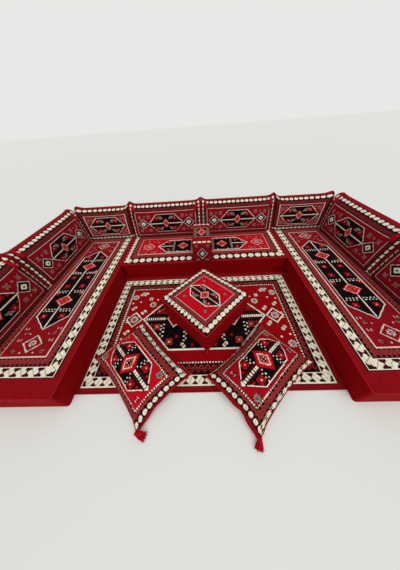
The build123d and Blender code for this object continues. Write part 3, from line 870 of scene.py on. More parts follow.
def tube(name, path, radius, material, sides=8, closed=True):
    # a round cord along a path: path + radius (cos a side + sin a up), up square to the path
    ahead = np.roll(path, -1, 0) - np.roll(path, 1, 0)
    if not closed:
        ahead[0], ahead[-1] = path[1] - path[0], path[-1] - path[-2]
    ahead /= np.linalg.norm(ahead, axis=1, keepdims=True)
    side = np.cross(ahead, (0.03, 0.02, 1.0))
    side /= np.linalg.norm(side, axis=1, keepdims=True)
    up = np.cross(side, ahead)
    a = np.arange(sides) * 2 * math.pi / sides
    ring = path[:, None] + radius * (np.cos(a)[None, :, None] * side[:, None]
                                     + np.sin(a)[None, :, None] * up[:, None])
    run = np.concatenate([[0], np.cumsum(np.linalg.norm(np.diff(path, axis=0), axis=1))])
    maps = np.meshgrid(run, np.arange(sides + 1) * 1000 / sides, indexing="ij")  # one turn is 1 in the map
    rows = len(path) if closed else len(path) - 1
    return clothMesh(name, ring, *maps, np.full((rows, sides), yarn.hem), [material], closed)


def finishPiece(piece, body, nodes=()):
    # hides the CAD nodes that it takes the place of, and hangs it on the body that it rides
    if nodes:
        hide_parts(*nodes)
    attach(piece, body)


def finishCover(name, points, maps, dye, b, body, nodes):
    # a cushion's cover in its place, velvet where the dye says so and chenille elsewhere
    piece = clothMesh(name, place(points, b["turn"], b["at"]), *maps, dye, [chenille, velvet])
    sharpen(piece, b["sharp"])
    finishPiece(piece, body, nodes)


def nodeBox(node):
    # a CAD node's lowest and highest corner in mm
    low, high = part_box(node)
    return np.array(low) / mm, np.array(high) / mm


print("boxed cushions")


def boxedShape(b, q, t):
    # q along the cushion, past its ends into the end panels; t round it: 0 to 1 underside, 1 to 2 front
    # wall, 2 to 3 top, 3 to 4 rear wall. Corners are quarter circles, and the front is drawn in by
    # draw (1 - (x/half)^2); s mm from an end and v of the depth from the front, the top rises by
    # crown (1 - (2v - 1)^2)^0.8 (1 - exp(-s/crownRun))
    half, depth, height, corner = b["length"] / 2, b["depth"], b["height"], b["corner"]
    shrink = (1 - np.maximum(np.abs(q) - half, 0) / b["capReach"])[:, None]
    x = np.clip(q, -half, half)[:, None]
    s = half - np.abs(x)
    inset = np.where(s < corner, corner - np.sqrt(np.maximum(corner ** 2 - (corner - s) ** 2, 0)), 0)
    front = inset + b["draw"] * (1 - (x / half) ** 2)
    rear = depth - inset
    t = t[None, :]
    f = np.mod(t, 1)
    y = np.where(t < 1, rear + (front - rear) * f,
                 np.where(t < 2, front, np.where(t < 3, front + (rear - front) * f, rear)))
    v = np.clip(t - 2, 0, 1)
    rise = b["crown"] * (1 - (2 * v - 1) ** 2) ** 0.8 * (1 - np.exp(-s / b["crownRun"])) * ((t > 2) & (t < 3))
    for low, high in b["flatRuns"]:  # nothing rises under what stands on the seat
        rise = rise * (1 - 1 / (1 + np.exp(-(x - low) / 12)) / (1 + np.exp((x - high) / 12)))
    if b["flatBehind"]:
        rise = rise / (1 + np.exp((v * depth - b["flatBehind"] + 25) / 9))
    z = np.where(t < 1, 0, np.where(t < 2, height * f, np.where(t < 3, height + rise, height * (1 - f))))
    y, z = (middle + (place - middle) * shrink for place, middle in ((y, depth / 2), (z, height / 2)))
    return np.stack(np.broadcast_arrays(x, y, z), -1).astype(float)


zipLook = {
    "opening": 10, "wall": 0.8, "clear": 13, "depth": 5.8, "end": 10,  # placket: half widths, depth, overrun
    "half": 3.0, "thick": 1.6, "pitch": 2.7, "tooth": 1.6, "overlap": 0.5, "stop": 5.0, "stopThick": 2.3,
    "lift": 0.1,  # the chain lies this much above the placket's floor
}
seatZipEnds, cushionZipEnds = 500, 140  # mm of a seam that the zip leaves free, both ends together


def zipLines(t, middle, span):
    # grid lines for a placket round t = middle, where span mm make one unit of t
    opening, brink = zipLook["opening"], zipLook["opening"] + zipLook["wall"]
    near = np.array([-brink, -opening, 0, opening, brink]) / span
    return np.sort(np.concatenate([t[np.abs(t - middle) > zipLook["clear"] / span], middle + near]))


def sinkPlacket(points, q, t, zipLength, middle, span, out):
    # the placket's floor lies depth mm in from the face whose outward direction is out
    rows = np.abs(t - middle) * span < zipLook["opening"] + 0.1
    columns = np.abs(q) < zipLength / 2 + zipLook["end"]
    points[np.ix_(columns, rows)] -= zipLook["depth"] * np.array(out, float)


def zipChain(name, zipLength, at, across, out, b, body):
    # teeth in two rows, half a pitch apart, that meet in the middle, and a stop at each end. Each is a box
    # (x0, x1, y0, y1, z0, z1) with x along the zip, y across and z out of the face
    z = zipLook
    k = np.arange(int(zipLength / z["pitch"]))
    low, high = z["lift"] - z["depth"], z["thick"] - z["depth"]
    boxes = []
    for side in (-1, 1):
        x = -zipLength / 2 + z["pitch"] * (k + 0.5 + 0.25 * side)
        y0, y1 = sorted((-z["overlap"] * side, z["half"] * side))
        level = np.ones_like(x)
        boxes.append(np.stack([x - z["tooth"] / 2, x + z["tooth"] / 2, level * y0, level * y1, level * low,
                               level * high], -1))
    boxes += [np.array([[x, x + z["stop"], -z["half"], z["half"], low, low + z["stopThick"]]])
              for x in (-zipLength / 2, zipLength / 2 - z["stop"])]
    boxes = np.concatenate(boxes)
    cornerOf = np.array([(i, 2 + j, 4 + h) for h in (0, 1) for j in (0, 1) for i in (0, 1)])
    frameOf = np.stack([np.cross(across, out), across, out]).astype(float)
    points = place((boxes[:, cornerOf] @ frameOf + np.array(at, float)).reshape(-1, 3), b["turn"], b["at"])
    sides = np.array([(0, 2, 3, 1), (4, 5, 7, 6), (0, 1, 5, 4), (1, 3, 7, 5), (3, 2, 6, 7), (2, 0, 4, 6)])
    faces = (sides[None] + 8 * np.arange(len(boxes))[:, None, None]).reshape(-1, 4)
    piece, mesh = newPiece(name + "_zip_chain", zipNylon)
    mesh.from_pydata((points * mm).tolist(), [], faces.tolist())
    mesh.update()
    finishPiece(piece, body)


def boxedGrid(b, step, wallStep):
    # the grid's lines: step mm apart on the top, wallStep on the walls
    half = b["length"] / 2
    cap = b["capReach"] * np.linspace(0.93, 0.04, b["capRings"])
    along = np.linspace(-half, half, max(8, round(b["length"] / step)) + 1)
    q = np.concatenate([-half - cap, along, half + cap[::-1]])
    up, over = max(3, round(b["height"] / wallStep)), max(6, round(b["depth"] / step))
    under = max(3, round(b["depth"] / (3 * wallStep)))
    return q, spread((0, 1, under), (1, 2, up), (2, 3, over), (3, 4, up))


def boxedCushion(name, b, chart, body, nodes, endChart=None):
    # a box's cover puffed by the simulation, with its placket, zip and piping; chart dyes its top, and
    # endChart the end panel at its low end
    lines = boxedGrid(b, b["stitch"], b["wallStep"])
    q, t = lines[0], zipLines(lines[1], *b["zip"][1:])
    coarseQ, coarseT = boxedGrid(b, b["simStep"], b["simStep"])
    shift = puff(boxedShape(b, coarseQ, coarseT), b["cap"])
    shift *= ((coarseT > 1.001) & (coarseT < 3.98))[None, :, None]  # the underside stays on what it rests on
    points = boxedShape(b, q, t) + onFineGrid(shift, (coarseQ, coarseT), (q, t), 4.0)
    points[..., 2] = np.maximum(points[..., 2], 0)
    sinkPlacket(points, q, t, *b["zip"], b["zipOut"])
    zipChain(name, b["zip"][0], b["zipAt"], b["zipAcross"], b["zipOut"], b, body)
    depth, height = b["depth"], b["height"]
    around = np.interp(np.append(t, 4.0), [0, 1, 2, 3, 4],
                       [-height - depth, -height, 0, depth, depth + height])
    u, v = faceMiddles(q, around)
    dye = np.full(u.shape, yarn.velvet)
    top = (v > 0) & (v < depth) & (np.abs(u) < b["length"] / 2)
    dye[top] = chart(u[top], v[top])
    if endChart:
        ring = middles(points)
        across = (ring + np.roll(ring, -1, 1)) / 2
        face = u < -b["length"] / 2
        dye[face] = endChart(across[..., 1][face] - depth / 2, across[..., 2][face])
    finishCover(name, points, np.meshgrid(q, around, indexing="ij"), dye, b, body, nodes)
    if b["piping"]:
        first, last = b["capRings"], len(q) - 1 - b["capRings"]
        front, rear = (int(np.searchsorted(t, seam - 1e-9)) for seam in (2.0, 3.0))
        loop = np.concatenate([points[first:last, front], points[last, front:rear],
                               points[last:first:-1, rear], points[first, rear:front:-1]])[::2]
        loop = place(loop - np.array([0, 0, b["pipingSink"]]), b["turn"], b["at"])
        cord = tube(name + "_seam_cord", loop, b["piping"], pipingCloth)
        finishPiece(cord, body, [name + "_piping"])


seatLook = {
    "height": 158, "corner": 12, "draw": 0.6, "crown": 8, "crownRun": 45, "flatRuns": (), "flatBehind": 0,
    "capReach": 60, "capRings": 6,  # the rings of an end panel, each smaller than the one before
    "stitch": 4.2, "wallStep": 14, "simStep": 26,  # grid of the top, of the walls and of the simulation
    "cap": 3.0, "fill": 0.95, "piping": 3.2, "pipingSink": 0.4, "sharp": 50,
}
armrestLook = seatLook | {
    "height": 180, "corner": 10, "draw": 1.5, "crown": 5, "capReach": 70, "capRings": 20,
    "stitch": 3.5, "wallStep": 4.5, "simStep": 16, "cap": 2.5, "piping": 0,
}
poufLook = seatLook | {"length": 455, "depth": 455, "height": 174, "corner": 16, "draw": 3, "crown": 9,
                       "capReach": 80, "stitch": 3.4, "simStep": 16, "cap": 4.0, "turn": 45.4}
backBase, armrestHalf = 165, 95  # mm of seat that the back cushions and half the armrest stand on


def rearZip(zipLength, depth, height):
    # halfway up the rear wall
    return {"zip": (zipLength, 3.5, height), "zipOut": (0, 1, 0), "zipAt": (0, depth, height / 2),
            "zipAcross": (0, 0, 1)}


def makeSeats():
    # the side seats are one another's mirror image, turned a quarter; way is -1 right, 1 left, 0 centre
    for name, way in (("centre_seat", 0), ("left_seat", 1), ("right_seat", -1)):
        low, high = nodeBox(name + "_cover")
        middle, size = (low + high) / 2, high - low
        length, depth = max(size[:2]), min(size[:2])
        wallEnd = length / 2 - backBase
        if way:
            at = (high[0] if way > 0 else low[0], middle[1], 0)
            flatRuns, chart = [(wallEnd, length) if way > 0 else (-length, -wallEnd)], sideSeatChart
        else:
            at = (middle[0], low[1], 0)
            flatRuns, chart = [(-armrestHalf, armrestHalf)], centreSeatChart
        b = seatLook | {"length": length, "depth": depth, "turn": 90 * way, "at": at, "flatRuns": flatRuns,
                        "flatBehind": depth - backBase}
        b |= rearZip(length - seatZipEnds, depth, b["height"])
        boxedCushion(name, b, lambda u, v, c=chart, k=way or 1: seatDye(u * k, v, c), "root",
                     [name + "_cover", name + "_foam"])
        print("  ", name)


def makeArmrest():
    # its length runs from front to back, so its low end is the face towards the rug
    low, high = nodeBox("armrest_cover")
    width, length = (high - low)[:2]
    at = (high[0], (low[1] + high[1]) / 2, low[2])
    b = armrestLook | {"length": length, "depth": width, "turn": 90, "at": at,
                       "zip": (length - cushionZipEnds, 0.5, width), "zipOut": (0, 0, -1),
                       "zipAt": (0, width / 2, 0), "zipAcross": (0, 1, 0)}  # along the underside's middle
    boxedCushion("armrest", b, armrestDye, "armrest", ["armrest_cover", "armrest_foam"], armrestFrontDye)


def makePouf():
    # its front edge's middle lies half a side from the centre, square to the turn
    low, high = nodeBox("pouf_cover")
    side, turn, centre = poufLook["length"], math.radians(poufLook["turn"]), (low + high) / 2
    at = (centre[0] + math.sin(turn) * side / 2, centre[1] - math.cos(turn) * side / 2, low[2])
    b = poufLook | {"at": at} | rearZip(side - cushionZipEnds, side, poufLook["height"])
    boxedCushion("pouf", b, lambda u, v: pillowDye(v - side / 2, u + side / 2, poufChart), "pouf",
                 ["pouf_cover", "pouf_foam"])


makeSeats()
makeArmrest()
makePouf()

print("back cushions")

backLook = {
    "height": 312, "base": backBase, "top": 113, "shoulder": 31, "belly": 10, "shoulderBelly": 15,
    "arc": 410,  # mm of cloth from the foot over the shoulder to the top seam
    "ear": 25, "earRun": 26, "endRun": 34, "mitreLean": 92,
    "stitch": 4.0, "wallStep": 16, "simStep": 15, "simWallStep": 20, "cap": 4.0, "fill": 0.9, "sharp": 50,
    "capReach": 60, "capRings": 5, "zipHeight": 48, "welt": 2.6,
}


def backShape(b, q, t):
    # t: 0 to 1 under the cushion from heel to foot, 1 to 2 up the front and over the shoulder to the
    # peak, 2 to 3 down the back. With s mm from an end, exp(-(s/earRun)^1.2) lifts the ears and
    # exp(-s/endRun) thins the ends; both panels of the front bow out by 4 f (1 - f);
    # an end with a mitre leans out as the neighbour's face leans back, and its ear lies lower
    half = b["length"] / 2
    shrink = (1 - np.maximum(np.abs(q) - half, 0) / b["capReach"])[:, None]
    x = np.clip(q, -half, half)[:, None]
    near = np.exp(-((half - np.abs(x)) / b["earRun"]) ** 1.2)
    slow = np.exp(-(half - np.abs(x)) / b["endRun"])
    mitred = (np.sign(x) == b["mitre"]) * np.ones_like(x)
    deep = b["base"] * (1 - 0.12 * slow * (1 - mitred))
    top = b["top"] * (1 - 0.30 * slow * (1 - mitred))
    high = b["height"] + b["ear"] * near * (1 - 0.75 * mitred) - b["sag"] * (1 - near)
    browZ = high - b["shoulder"] - 0.4 * b["ear"] * near
    lean = math.hypot(b["height"] - b["shoulder"], b["base"] - b["top"])
    slope = math.hypot(b["top"], b["shoulder"])
    share = lean / (lean + slope)  # where the brow lies between foot and peak
    t = t[None, :]
    f = np.clip(t - 1, 0, 1)
    g, h = np.clip(f / share, 0, 1), np.clip((f - share) / (1 - share), 0, 1)
    y = np.where(t < 1, -deep * t, -deep + (deep - top) * g + top * h)
    z = np.where(t < 1, 0 * t, browZ * g + (high - browZ) * h)
    nose = b["belly"] * 4 * g * (1 - g) * (1 - 0.6 * near)
    bulge = b["shoulderBelly"] * 4 * h * (1 - h)
    y = np.where(t < 1, y, y - nose - bulge * b["shoulder"] / slope)
    z = np.where(t < 1, z, z + bulge * b["top"] / slope)
    back = t >= 2
    y = np.where(back, 0, y)
    z = np.where(back, b["height"] * (3 - t) + (high - b["height"]) * np.clip((2.7 - t) / 0.7, 0, 1), z)
    leanOut = np.interp(z, [0, b["height"] - b["shoulder"], b["height"] + 10],
                        [0, b["base"] - b["top"], b["mitreLean"]])
    x = x + b["mitre"] * leanOut * np.clip((b["mitre"] * x + half * 0.2) / (half * 1.2), 0, 1) ** 1.5
    cy, cz = -b["base"] * 0.45, b["height"] * 0.48
    return np.stack(np.broadcast_arrays(x, cy + (y - cy) * shrink, cz + (z - cz) * shrink), -1).astype(float)


def soften(points, t, passes):
    # evens out the brow: each point moves halfway to its neighbours' mean, away from the seams
    free = ((t > 1.08) & (t < 1.93))[None, :, None]
    for _ in range(passes):
        mean = (np.roll(points, 1, 1) + np.roll(points, -1, 1)) / 2
        points = np.where(free, (points + mean) / 2, points)
    return points


def backGrid(b, step, wallStep):
    # the grid's lines: step mm apart up the front, wallStep below and behind
    half = b["length"] / 2
    cap = b["capReach"] * np.linspace(0.9, 0.06, b["capRings"])
    along = np.linspace(-half, half, round(b["length"] / step) + 1)
    q = np.concatenate([-half - cap, along, half + cap[::-1]])
    return q, spread((0, 1, round(b["base"] / wallStep)), (1, 2, round(b["arc"] / step)),
                     (2, 3, round(b["height"] / wallStep)))


settled = {}


def backCushion(name, length, chart, turn, at, mitre=0, sag=0):
    # a back cushion with its placket, zip, welt and tassels; at is its heel's middle, on the wall
    b = backLook | {"length": length, "mitre": mitre, "sag": sag, "turn": turn, "at": at}
    q, t = backGrid(b, b["stitch"], b["wallStep"])
    zipSpot = (round(length) - cushionZipEnds, 3 - b["zipHeight"] / b["height"], b["height"])
    t = zipLines(t, *zipSpot[1:])
    coarseQ, coarseT = backGrid(b, b["simStep"], b["simWallStep"])
    if (length, mitre) not in settled:  # cushions of one kind come from one filling mould
        shift = puff(soften(backShape(b, coarseQ, coarseT), coarseT, 3), b["cap"])
        shift *= ((coarseT > 1.02) & (coarseT < 2.01))[None, :, None]
        shift[..., 0] *= (np.abs(coarseQ) < length / 2 - 1)[:, None]
        settled[length, mitre] = onFineGrid(shift, (coarseQ, coarseT), (q, t), 3.0)
    points = soften(backShape(b, q, t), t, 30) + settled[length, mitre]
    points[..., 1] = np.minimum(points[..., 1], 0)
    sinkPlacket(points, q, t, *zipSpot, (0, 1, 0))
    zipChain(name, zipSpot[0], (0, 0, b["zipHeight"]), (0, 0, 1), (0, 1, 0), b, name)
    around = np.interp(np.append(t, 3.0), [0, 1, 2, 3], [-b["base"], 0, b["arc"], b["arc"] + b["height"]])
    u, v = faceMiddles(q, around)
    dye = np.full(u.shape, yarn.velvet)
    face = (v > 0) & (v < b["arc"]) & (np.abs(u) < length / 2)
    dye[face] = backDye(u[face], v[face], chart)
    finishCover(name, points, np.meshgrid(q, around, indexing="ij"), dye, b, name,
                [name + "_cover", name + "_filling"])
    first, last, peak = b["capRings"], len(q) - 1 - b["capRings"], int(np.searchsorted(t, 2.0 - 1e-9))
    welt = place(points[first:last + 1, peak] + np.array([0, -2.0, 0.0]), turn, at)
    cord = tube(name + "_welt", welt, b["welt"], pipingCloth, closed=False)
    finishPiece(cord, name)
    if chart is longBackChart:
        makeBackTassels(name, points, q, t, b)


tasselLook = {"head": 9, "neck": 5.5, "skirt": 21, "strands": 46, "wave": 2.2}
backTasselLook = tasselLook | {"skirt": 17, "spot": 327, "cord": 1.8, "cordSides": 6}


def tasselStrands(name, spine, look, floorAt=None):
    # strands run along the spine, a line bent at its middle point, each at its own angle a and share of
    # the width: spine(f) + r(f) (cos a side + sin a other), with r(f) = neck + (skirt - neck)
    # sin(pi f/2)^1.3, the head's radius for f < 0.12, and a small wave; their ends differ by 15 %
    spine = np.asarray(spine, float)
    strands, f = look["strands"], np.linspace(0, 1, 11)
    k = np.arange(strands)[:, None]
    w = (f[None] * (1 - 0.15 * rng.random((strands, 1))))[..., None]
    lines = (1 - w) ** 2 * spine[0] + 2 * w * (1 - w) * spine[1] + w ** 2 * spine[2]
    axis = spine[2] - spine[0]
    length = np.linalg.norm(axis)
    axis /= length
    side = np.cross(axis, (0.3, 0.2, 1.0))
    side /= np.linalg.norm(side)
    other = np.cross(axis, side)
    inner = np.sqrt((k + 0.5) / strands)
    r = (look["neck"] + (look["skirt"] - look["neck"]) * np.sin(np.pi * f / 2) ** 1.3)[None] * inner
    r = np.where(f[None] < 0.12, look["head"] * inner, r)
    sway = look["wave"] * np.sin(f * 9 + k) * f
    a = k * 2.399963 + 0.3  # the golden angle spreads them evenly
    lines = lines + (r * np.cos(a) + sway)[..., None] * side + (r * np.sin(a) - sway)[..., None] * other
    if floorAt is not None:
        lines[..., 2] = np.maximum(lines[..., 2], floorAt + 1.5)
    ahead = np.gradient(lines, axis=1)
    ahead /= np.linalg.norm(ahead, axis=2, keepdims=True)
    s = np.cross(ahead, axis + 0.4 * side)
    s /= np.maximum(np.linalg.norm(s, axis=2, keepdims=True), 1e-6)
    o = np.cross(ahead, s)
    turns = np.arange(4) * math.pi / 2
    thick = np.interp(f, [0, 0.5, 1], [1.6, 1.9, 0.9])[None, :, None, None]
    rings = lines[:, :, None] + thick * (np.cos(turns)[:, None] * s[:, :, None]
                                         + np.sin(turns)[:, None] * o[:, :, None])
    n, m = len(f), len(turns)
    grid = np.arange(n * m).reshape(n, m)
    beside = np.roll(grid, -1, 1)
    quads = np.stack([grid[:-1], beside[:-1], beside[1:], grid[1:]], -1).reshape(-1, 4)
    capped = np.concatenate([quads, grid[0][::-1][None], grid[-1][None]])
    faces = (capped[None] + (np.arange(strands) * n * m)[:, None, None]).reshape(-1, 4)
    piece, mesh = newPiece(name, tasselYarn)
    mesh.from_pydata((rings.reshape(-1, 3) * mm).tolist(), [], faces.tolist())
    uv = np.stack([np.repeat(np.tile(f * length * mm, strands), m), np.zeros(strands * n * m)], -1)
    mesh.uv_layers.new(name="cloth").data.foreach_set("uv", uv[faces.reshape(-1)].reshape(-1))
    mesh.polygons.foreach_set("use_smooth", np.ones(len(faces), bool))
    mesh.update()
    return piece


def makeBackTassels(name, points, q, t, b):
    # each hangs on a cord from the top seam and lies over the shoulder
    look = backTasselLook
    for sign, side in ((-1, "left"), (1, "right")):
        i = int(np.argmin(np.abs(q - sign * look["spot"])))
        drop = 0.02 + 0.02 * sign  # the right one hangs a little lower
        peak = int(np.searchsorted(t, 2.0 - 1e-9))
        neck, brow = (int(np.argmin(np.abs(t - level + drop))) for level in (1.83, 1.70))
        path = points[i, neck:peak + 1][::-1][::2] + np.array([0, -1.5, 3.0])
        cord = tube(f"{name}_tassel_cord_{side}", place(path, b["turn"], b["at"]), look["cord"], tasselYarn,
                    look["cordSides"], False)
        finishPiece(cord, name)
        head = points[i, neck] + np.array([0, -2.0, 8.0])
        bend = points[i, brow] + np.array([0, -9.0, 7.0])
        foot = bend + np.array([0, -8.0, -27.0])
        spine = place(np.array([head, bend, foot]), b["turn"], b["at"])
        piece = tasselStrands(f"{name}_tassel_{side}", spine, look)
        finishPiece(piece, name, [name + "_tassels"] if sign < 0 else [])


def makeBackCushions():
    # one at each cover's place; where the rows meet in a corner, both ends have a mitre of sign 1 or -1
    for name, mitre in (("back_cushion_left", 0), ("back_cushion_right", 0), ("corner_cushion_left", -1),
                        ("corner_cushion_right", 1)):
        low, high = nodeBox(name + "_cover")
        backCushion(name, round(high[0] - low[0], 1), shortBackChart if mitre else longBackChart, 0,
                    ((low[0] + high[0]) / 2, high[1], low[2]), mitre, 12 if mitre else 0)
    for side, sign in (("left", -1), ("right", 1)):
        for number in (1, 2):
            name = f"{side}_side_cushion_{number}"
            low, high = nodeBox(name + "_cover")
            wall = low[0] if sign < 0 else high[0]
            backCushion(name, round(high[1] - low[1], 1), longBackChart, -sign * 90,
                        (wall, (low[1] + high[1]) / 2, low[2]), -sign if number == 1 else 0)
    print("   back cushions made")


makeBackCushions()

print("throw pillows")

pillowLook = {"long": 508, "wide": 355, "thick": 125, "seam": 44, "draw": 16, "stitch": 3.2, "simStep": 13,
              "cap": 6.0, "fill": 0.8, "sharp": 70, "rugFront": -492.5, "droop": 30.0, "droopRun": 170,
              "cornerPull": 3, "welt": 3.0}
pillowTasselLook = tasselLook | {"skirt": 20, "strands": 60, "wave": 3}
# pattern: where the chart's middle lies on the cloth; crease: its place across and its depth in mm;
# side: which corner of the end at s = -1 carries the tassel; way: degrees; reach: mm from the corner
pillows = {
    "left_pillow": {"at": (-386, -359, 8.3), "turn": 134.5, "pattern": (16, 37), "field": yarn.crimson,
                    "crease": (0.35, 5), "side": 1, "way": -18, "reach": (-12, 46)},
    # the right pillow's field is the crimson painted darker, as painted shade where its pile leans away
    "right_pillow": {"at": (304, -395.5, 8.3), "turn": 41.2, "pattern": (23, 9), "field": yarn.garnet,
                     "crease": (-0.32, 12), "side": -1, "way": -105, "reach": (-16, 30)},
}


def pillowShape(b, s, t):
    # s along from -1 to 1; t: 0 to 1 over the top, 1 to 2 back underneath; w across from -1 to 1.
    # top = seam + (thick - seam) (1 - s^2)^0.5 (1 - w^2)^0.75, with seam puckers; edges are drawn in by
    # draw (1 - s^2), and a crease runs in from the end at s = -1
    s, t = s[:, None], t[None, :]
    over = t < 1
    w = np.where(over, -1 + 2 * t, 3 - 2 * t)
    side = b["wide"] / 2 - b["draw"] * (1 - s ** 2)
    end = b["long"] / 2 - b["draw"] * 0.9 * (1 - w ** 2)
    x, y = end * s + 0 * w, side * w
    cs, cw = np.maximum(1 - s ** 2, 0), np.maximum(1 - w ** 2, 0)
    rise = (b["thick"] - b["seam"]) * cs ** 0.5 * cw ** 0.75
    drop = b["seam"] * np.minimum(1, 1.25 * cs ** 0.35 * cw ** 0.45)
    pucker = 1.6 * (np.sin(x / 9.0 + 2 * np.sin(x / 31)) * np.exp(-(1 - np.abs(w)) * 14)
                    + np.sin(y / 8.0 + 2 * np.sin(y / 27)) * np.exp(-(1 - np.abs(s)) * 20))
    z = np.where(over, b["seam"] + rise + pucker * cs ** 0.3 * cw ** 0.3, b["seam"] - drop)
    corner = b["cornerPull"] * (np.abs(s) * np.abs(w)) ** 10
    x, y = x + np.sign(s) * corner, y + np.sign(w) * corner
    where, dent = b["crease"]
    fold = np.exp(-((w - where) / 0.17) ** 2) * np.exp(-(1 + s) * 3.2)
    x, z = x + dent * fold, z - np.where(over, 0.7 * dent * fold * np.minimum(1, cs * 6), 0)
    return np.stack(np.broadcast_arrays(x, y, z), -1).astype(float)


def pillowGrid(b, step):
    # lines closer together near the edges: 0.65 of an even spread and 0.35 of a sine; even underneath
    n, m = round(b["long"] * 1.06 / step), round(b["wide"] * 1.1 / step)
    s, w = np.linspace(-1, 1, n + 1), np.linspace(-1, 1, m + 1)
    s = np.sin(s * math.pi / 2 * 0.999) * 0.35 + s * 0.65
    w = np.sin(w * math.pi / 2) * 0.35 + w * 0.65
    return s, np.concatenate([(w[:-1] + 1) / 2, np.linspace(1, 2, max(10, m // 2), endpoint=False)])


def makePillow(name, p):
    # a throw pillow with its placket, zip, welt and the tassel at its tip
    b = pillowLook | p
    s, t = pillowGrid(b, b["stitch"])
    zipSpot = (b["long"] - cushionZipEnds, 1.5, b["wide"] - 2 * b["draw"])
    t = zipLines(t, *zipSpot[1:])
    coarseS, coarseT = pillowGrid(b, b["simStep"])
    shift = puff(pillowShape(b, coarseS, coarseT) * np.array([1, 1, 0.96]), b["cap"])
    shift[..., 2] *= (coarseT < 1)[None, :]
    points = pillowShape(b, s, t) + onFineGrid(shift, (coarseS, coarseT), (s, t), 2.0)
    # past the rug's front edge a tip hangs down to the floor: droop times a smooth step over droopRun
    past = np.clip((b["rugFront"] - place(points, b["turn"], b["at"])[..., 1]) / b["droopRun"], 0, 1)
    thin = 1 - np.clip((points[..., 2] - b["seam"]) / 60, 0, 1)
    points[..., 2] -= b["droop"] * past ** 2 * (3 - 2 * past) * (0.35 + 0.65 * thin)
    points[..., 2] = np.maximum(points[..., 2], -6 * past)
    sinkPlacket(points, s * b["long"] / 2, t, *zipSpot, (0, 0, -1))
    zipChain(name, zipSpot[0], (0, 0, 0), (0, 1, 0), (0, 0, -1), b, name)
    # arc lengths from the middle of the cloth, along and across, place the pattern on the bulge
    edge = int((t < 1).sum())
    along = np.linalg.norm(np.diff(points, axis=0), axis=2)
    u = np.concatenate([np.zeros((1, len(t))), np.cumsum(along, 0)])
    u -= u[len(s) // 2]
    across = np.linalg.norm(np.roll(points, -1, 1) - points, axis=2)
    v = np.concatenate([np.zeros((len(s), 1)), np.cumsum(across, 1)], 1)
    v -= v[:, edge // 2][:, None]
    dye = np.full(along.shape, yarn.velvet)
    chart = pillowChart | {"middle": b["pattern"], "shift": b["pattern"], "field": b["field"]}
    dye[:, :edge] = pillowDye(middles(u)[:, :edge], middles(middles(v.T).T)[:, :edge], chart)
    maps = np.concatenate([u, u[:, :1]], 1), v
    finishCover(name, points, maps, dye, b, name, [name + "_cover", name + "_filling"])
    loop = np.concatenate([points[:-1, 0], points[-1, :edge], points[:0:-1, edge], points[0, edge:0:-1]])
    cord = tube(name + "_welt", place(loop[::2], b["turn"], b["at"]), b["welt"], pipingCloth)
    finishPiece(cord, name)
    tip = place(points[0, edge if b["side"] > 0 else 0], b["turn"], b["at"])
    way = math.radians(b["way"])
    near, far = b["reach"]
    spine = tip + np.array([[near], [(near + far) * 0.45], [far]]) * (math.cos(way), math.sin(way), 0)
    spine[:, 2] = (max(tip[2], 14) + 4, 18, 12)
    tassel = tasselStrands(name + "_yarn_tassel", spine, pillowTasselLook, 0.0)
    finishPiece(tassel, name, [name + "_tassel"])


for pillowName, pillow in pillows.items():
    makePillow(pillowName, pillow)

# the pouf's tassels stick out at its lower corners, rooted inset mm inside them and height mm up
poufTasselLook = tasselLook | {"head": 6, "neck": 4, "skirt": 13, "strands": 30, "wave": 1.5,
                               "inset": 10, "height": 19, "length": 48, "droop": 4, "floor": 9.0}


def makePoufTassels():
    # corner k lies turn - 135 + 90 k degrees round the middle, half a diagonal from it
    low, high = nodeBox("pouf_cover")
    look = poufTasselLook
    for k, name in enumerate(("front", "right", "rear", "left")):
        a = math.radians(poufLook["turn"] - 135 + 90 * k)
        out = np.array([math.cos(a), math.sin(a), 0])
        start = (low + high) / 2 + out * (poufLook["length"] / 2 * math.sqrt(2) - look["inset"])
        start[2] = look["height"]
        spine = start + np.array([[0], [0.5], [1]]) * look["length"] * out
        spine[2, 2] -= look["droop"]
        piece = tasselStrands(f"pouf_tassel_{name}", spine, look, look["floor"])
        finishPiece(piece, "pouf", ["pouf_tassels"] if k == 0 else [])


makePoufTassels()

print("rug")

rugLook = {"length": 1500, "depth": 985, "thick": 8, "stitch": 4.15, "sharp": 50, "inTape": 2, "under": 0.4,
           "tapeSharp": 40, "tapeSteps": 60, "tapeTurn": 100.0,
           # the tape's section: inwards from the rug's edge, and up
           "tape": [(0.0, 3.6), (0.6, 7.0), (3, 8.1), (12, 8.0), (12, 7.2), (4, 5.0), (4, 2.0), (12, 0.6),
                    (1.5, 0.1)]}


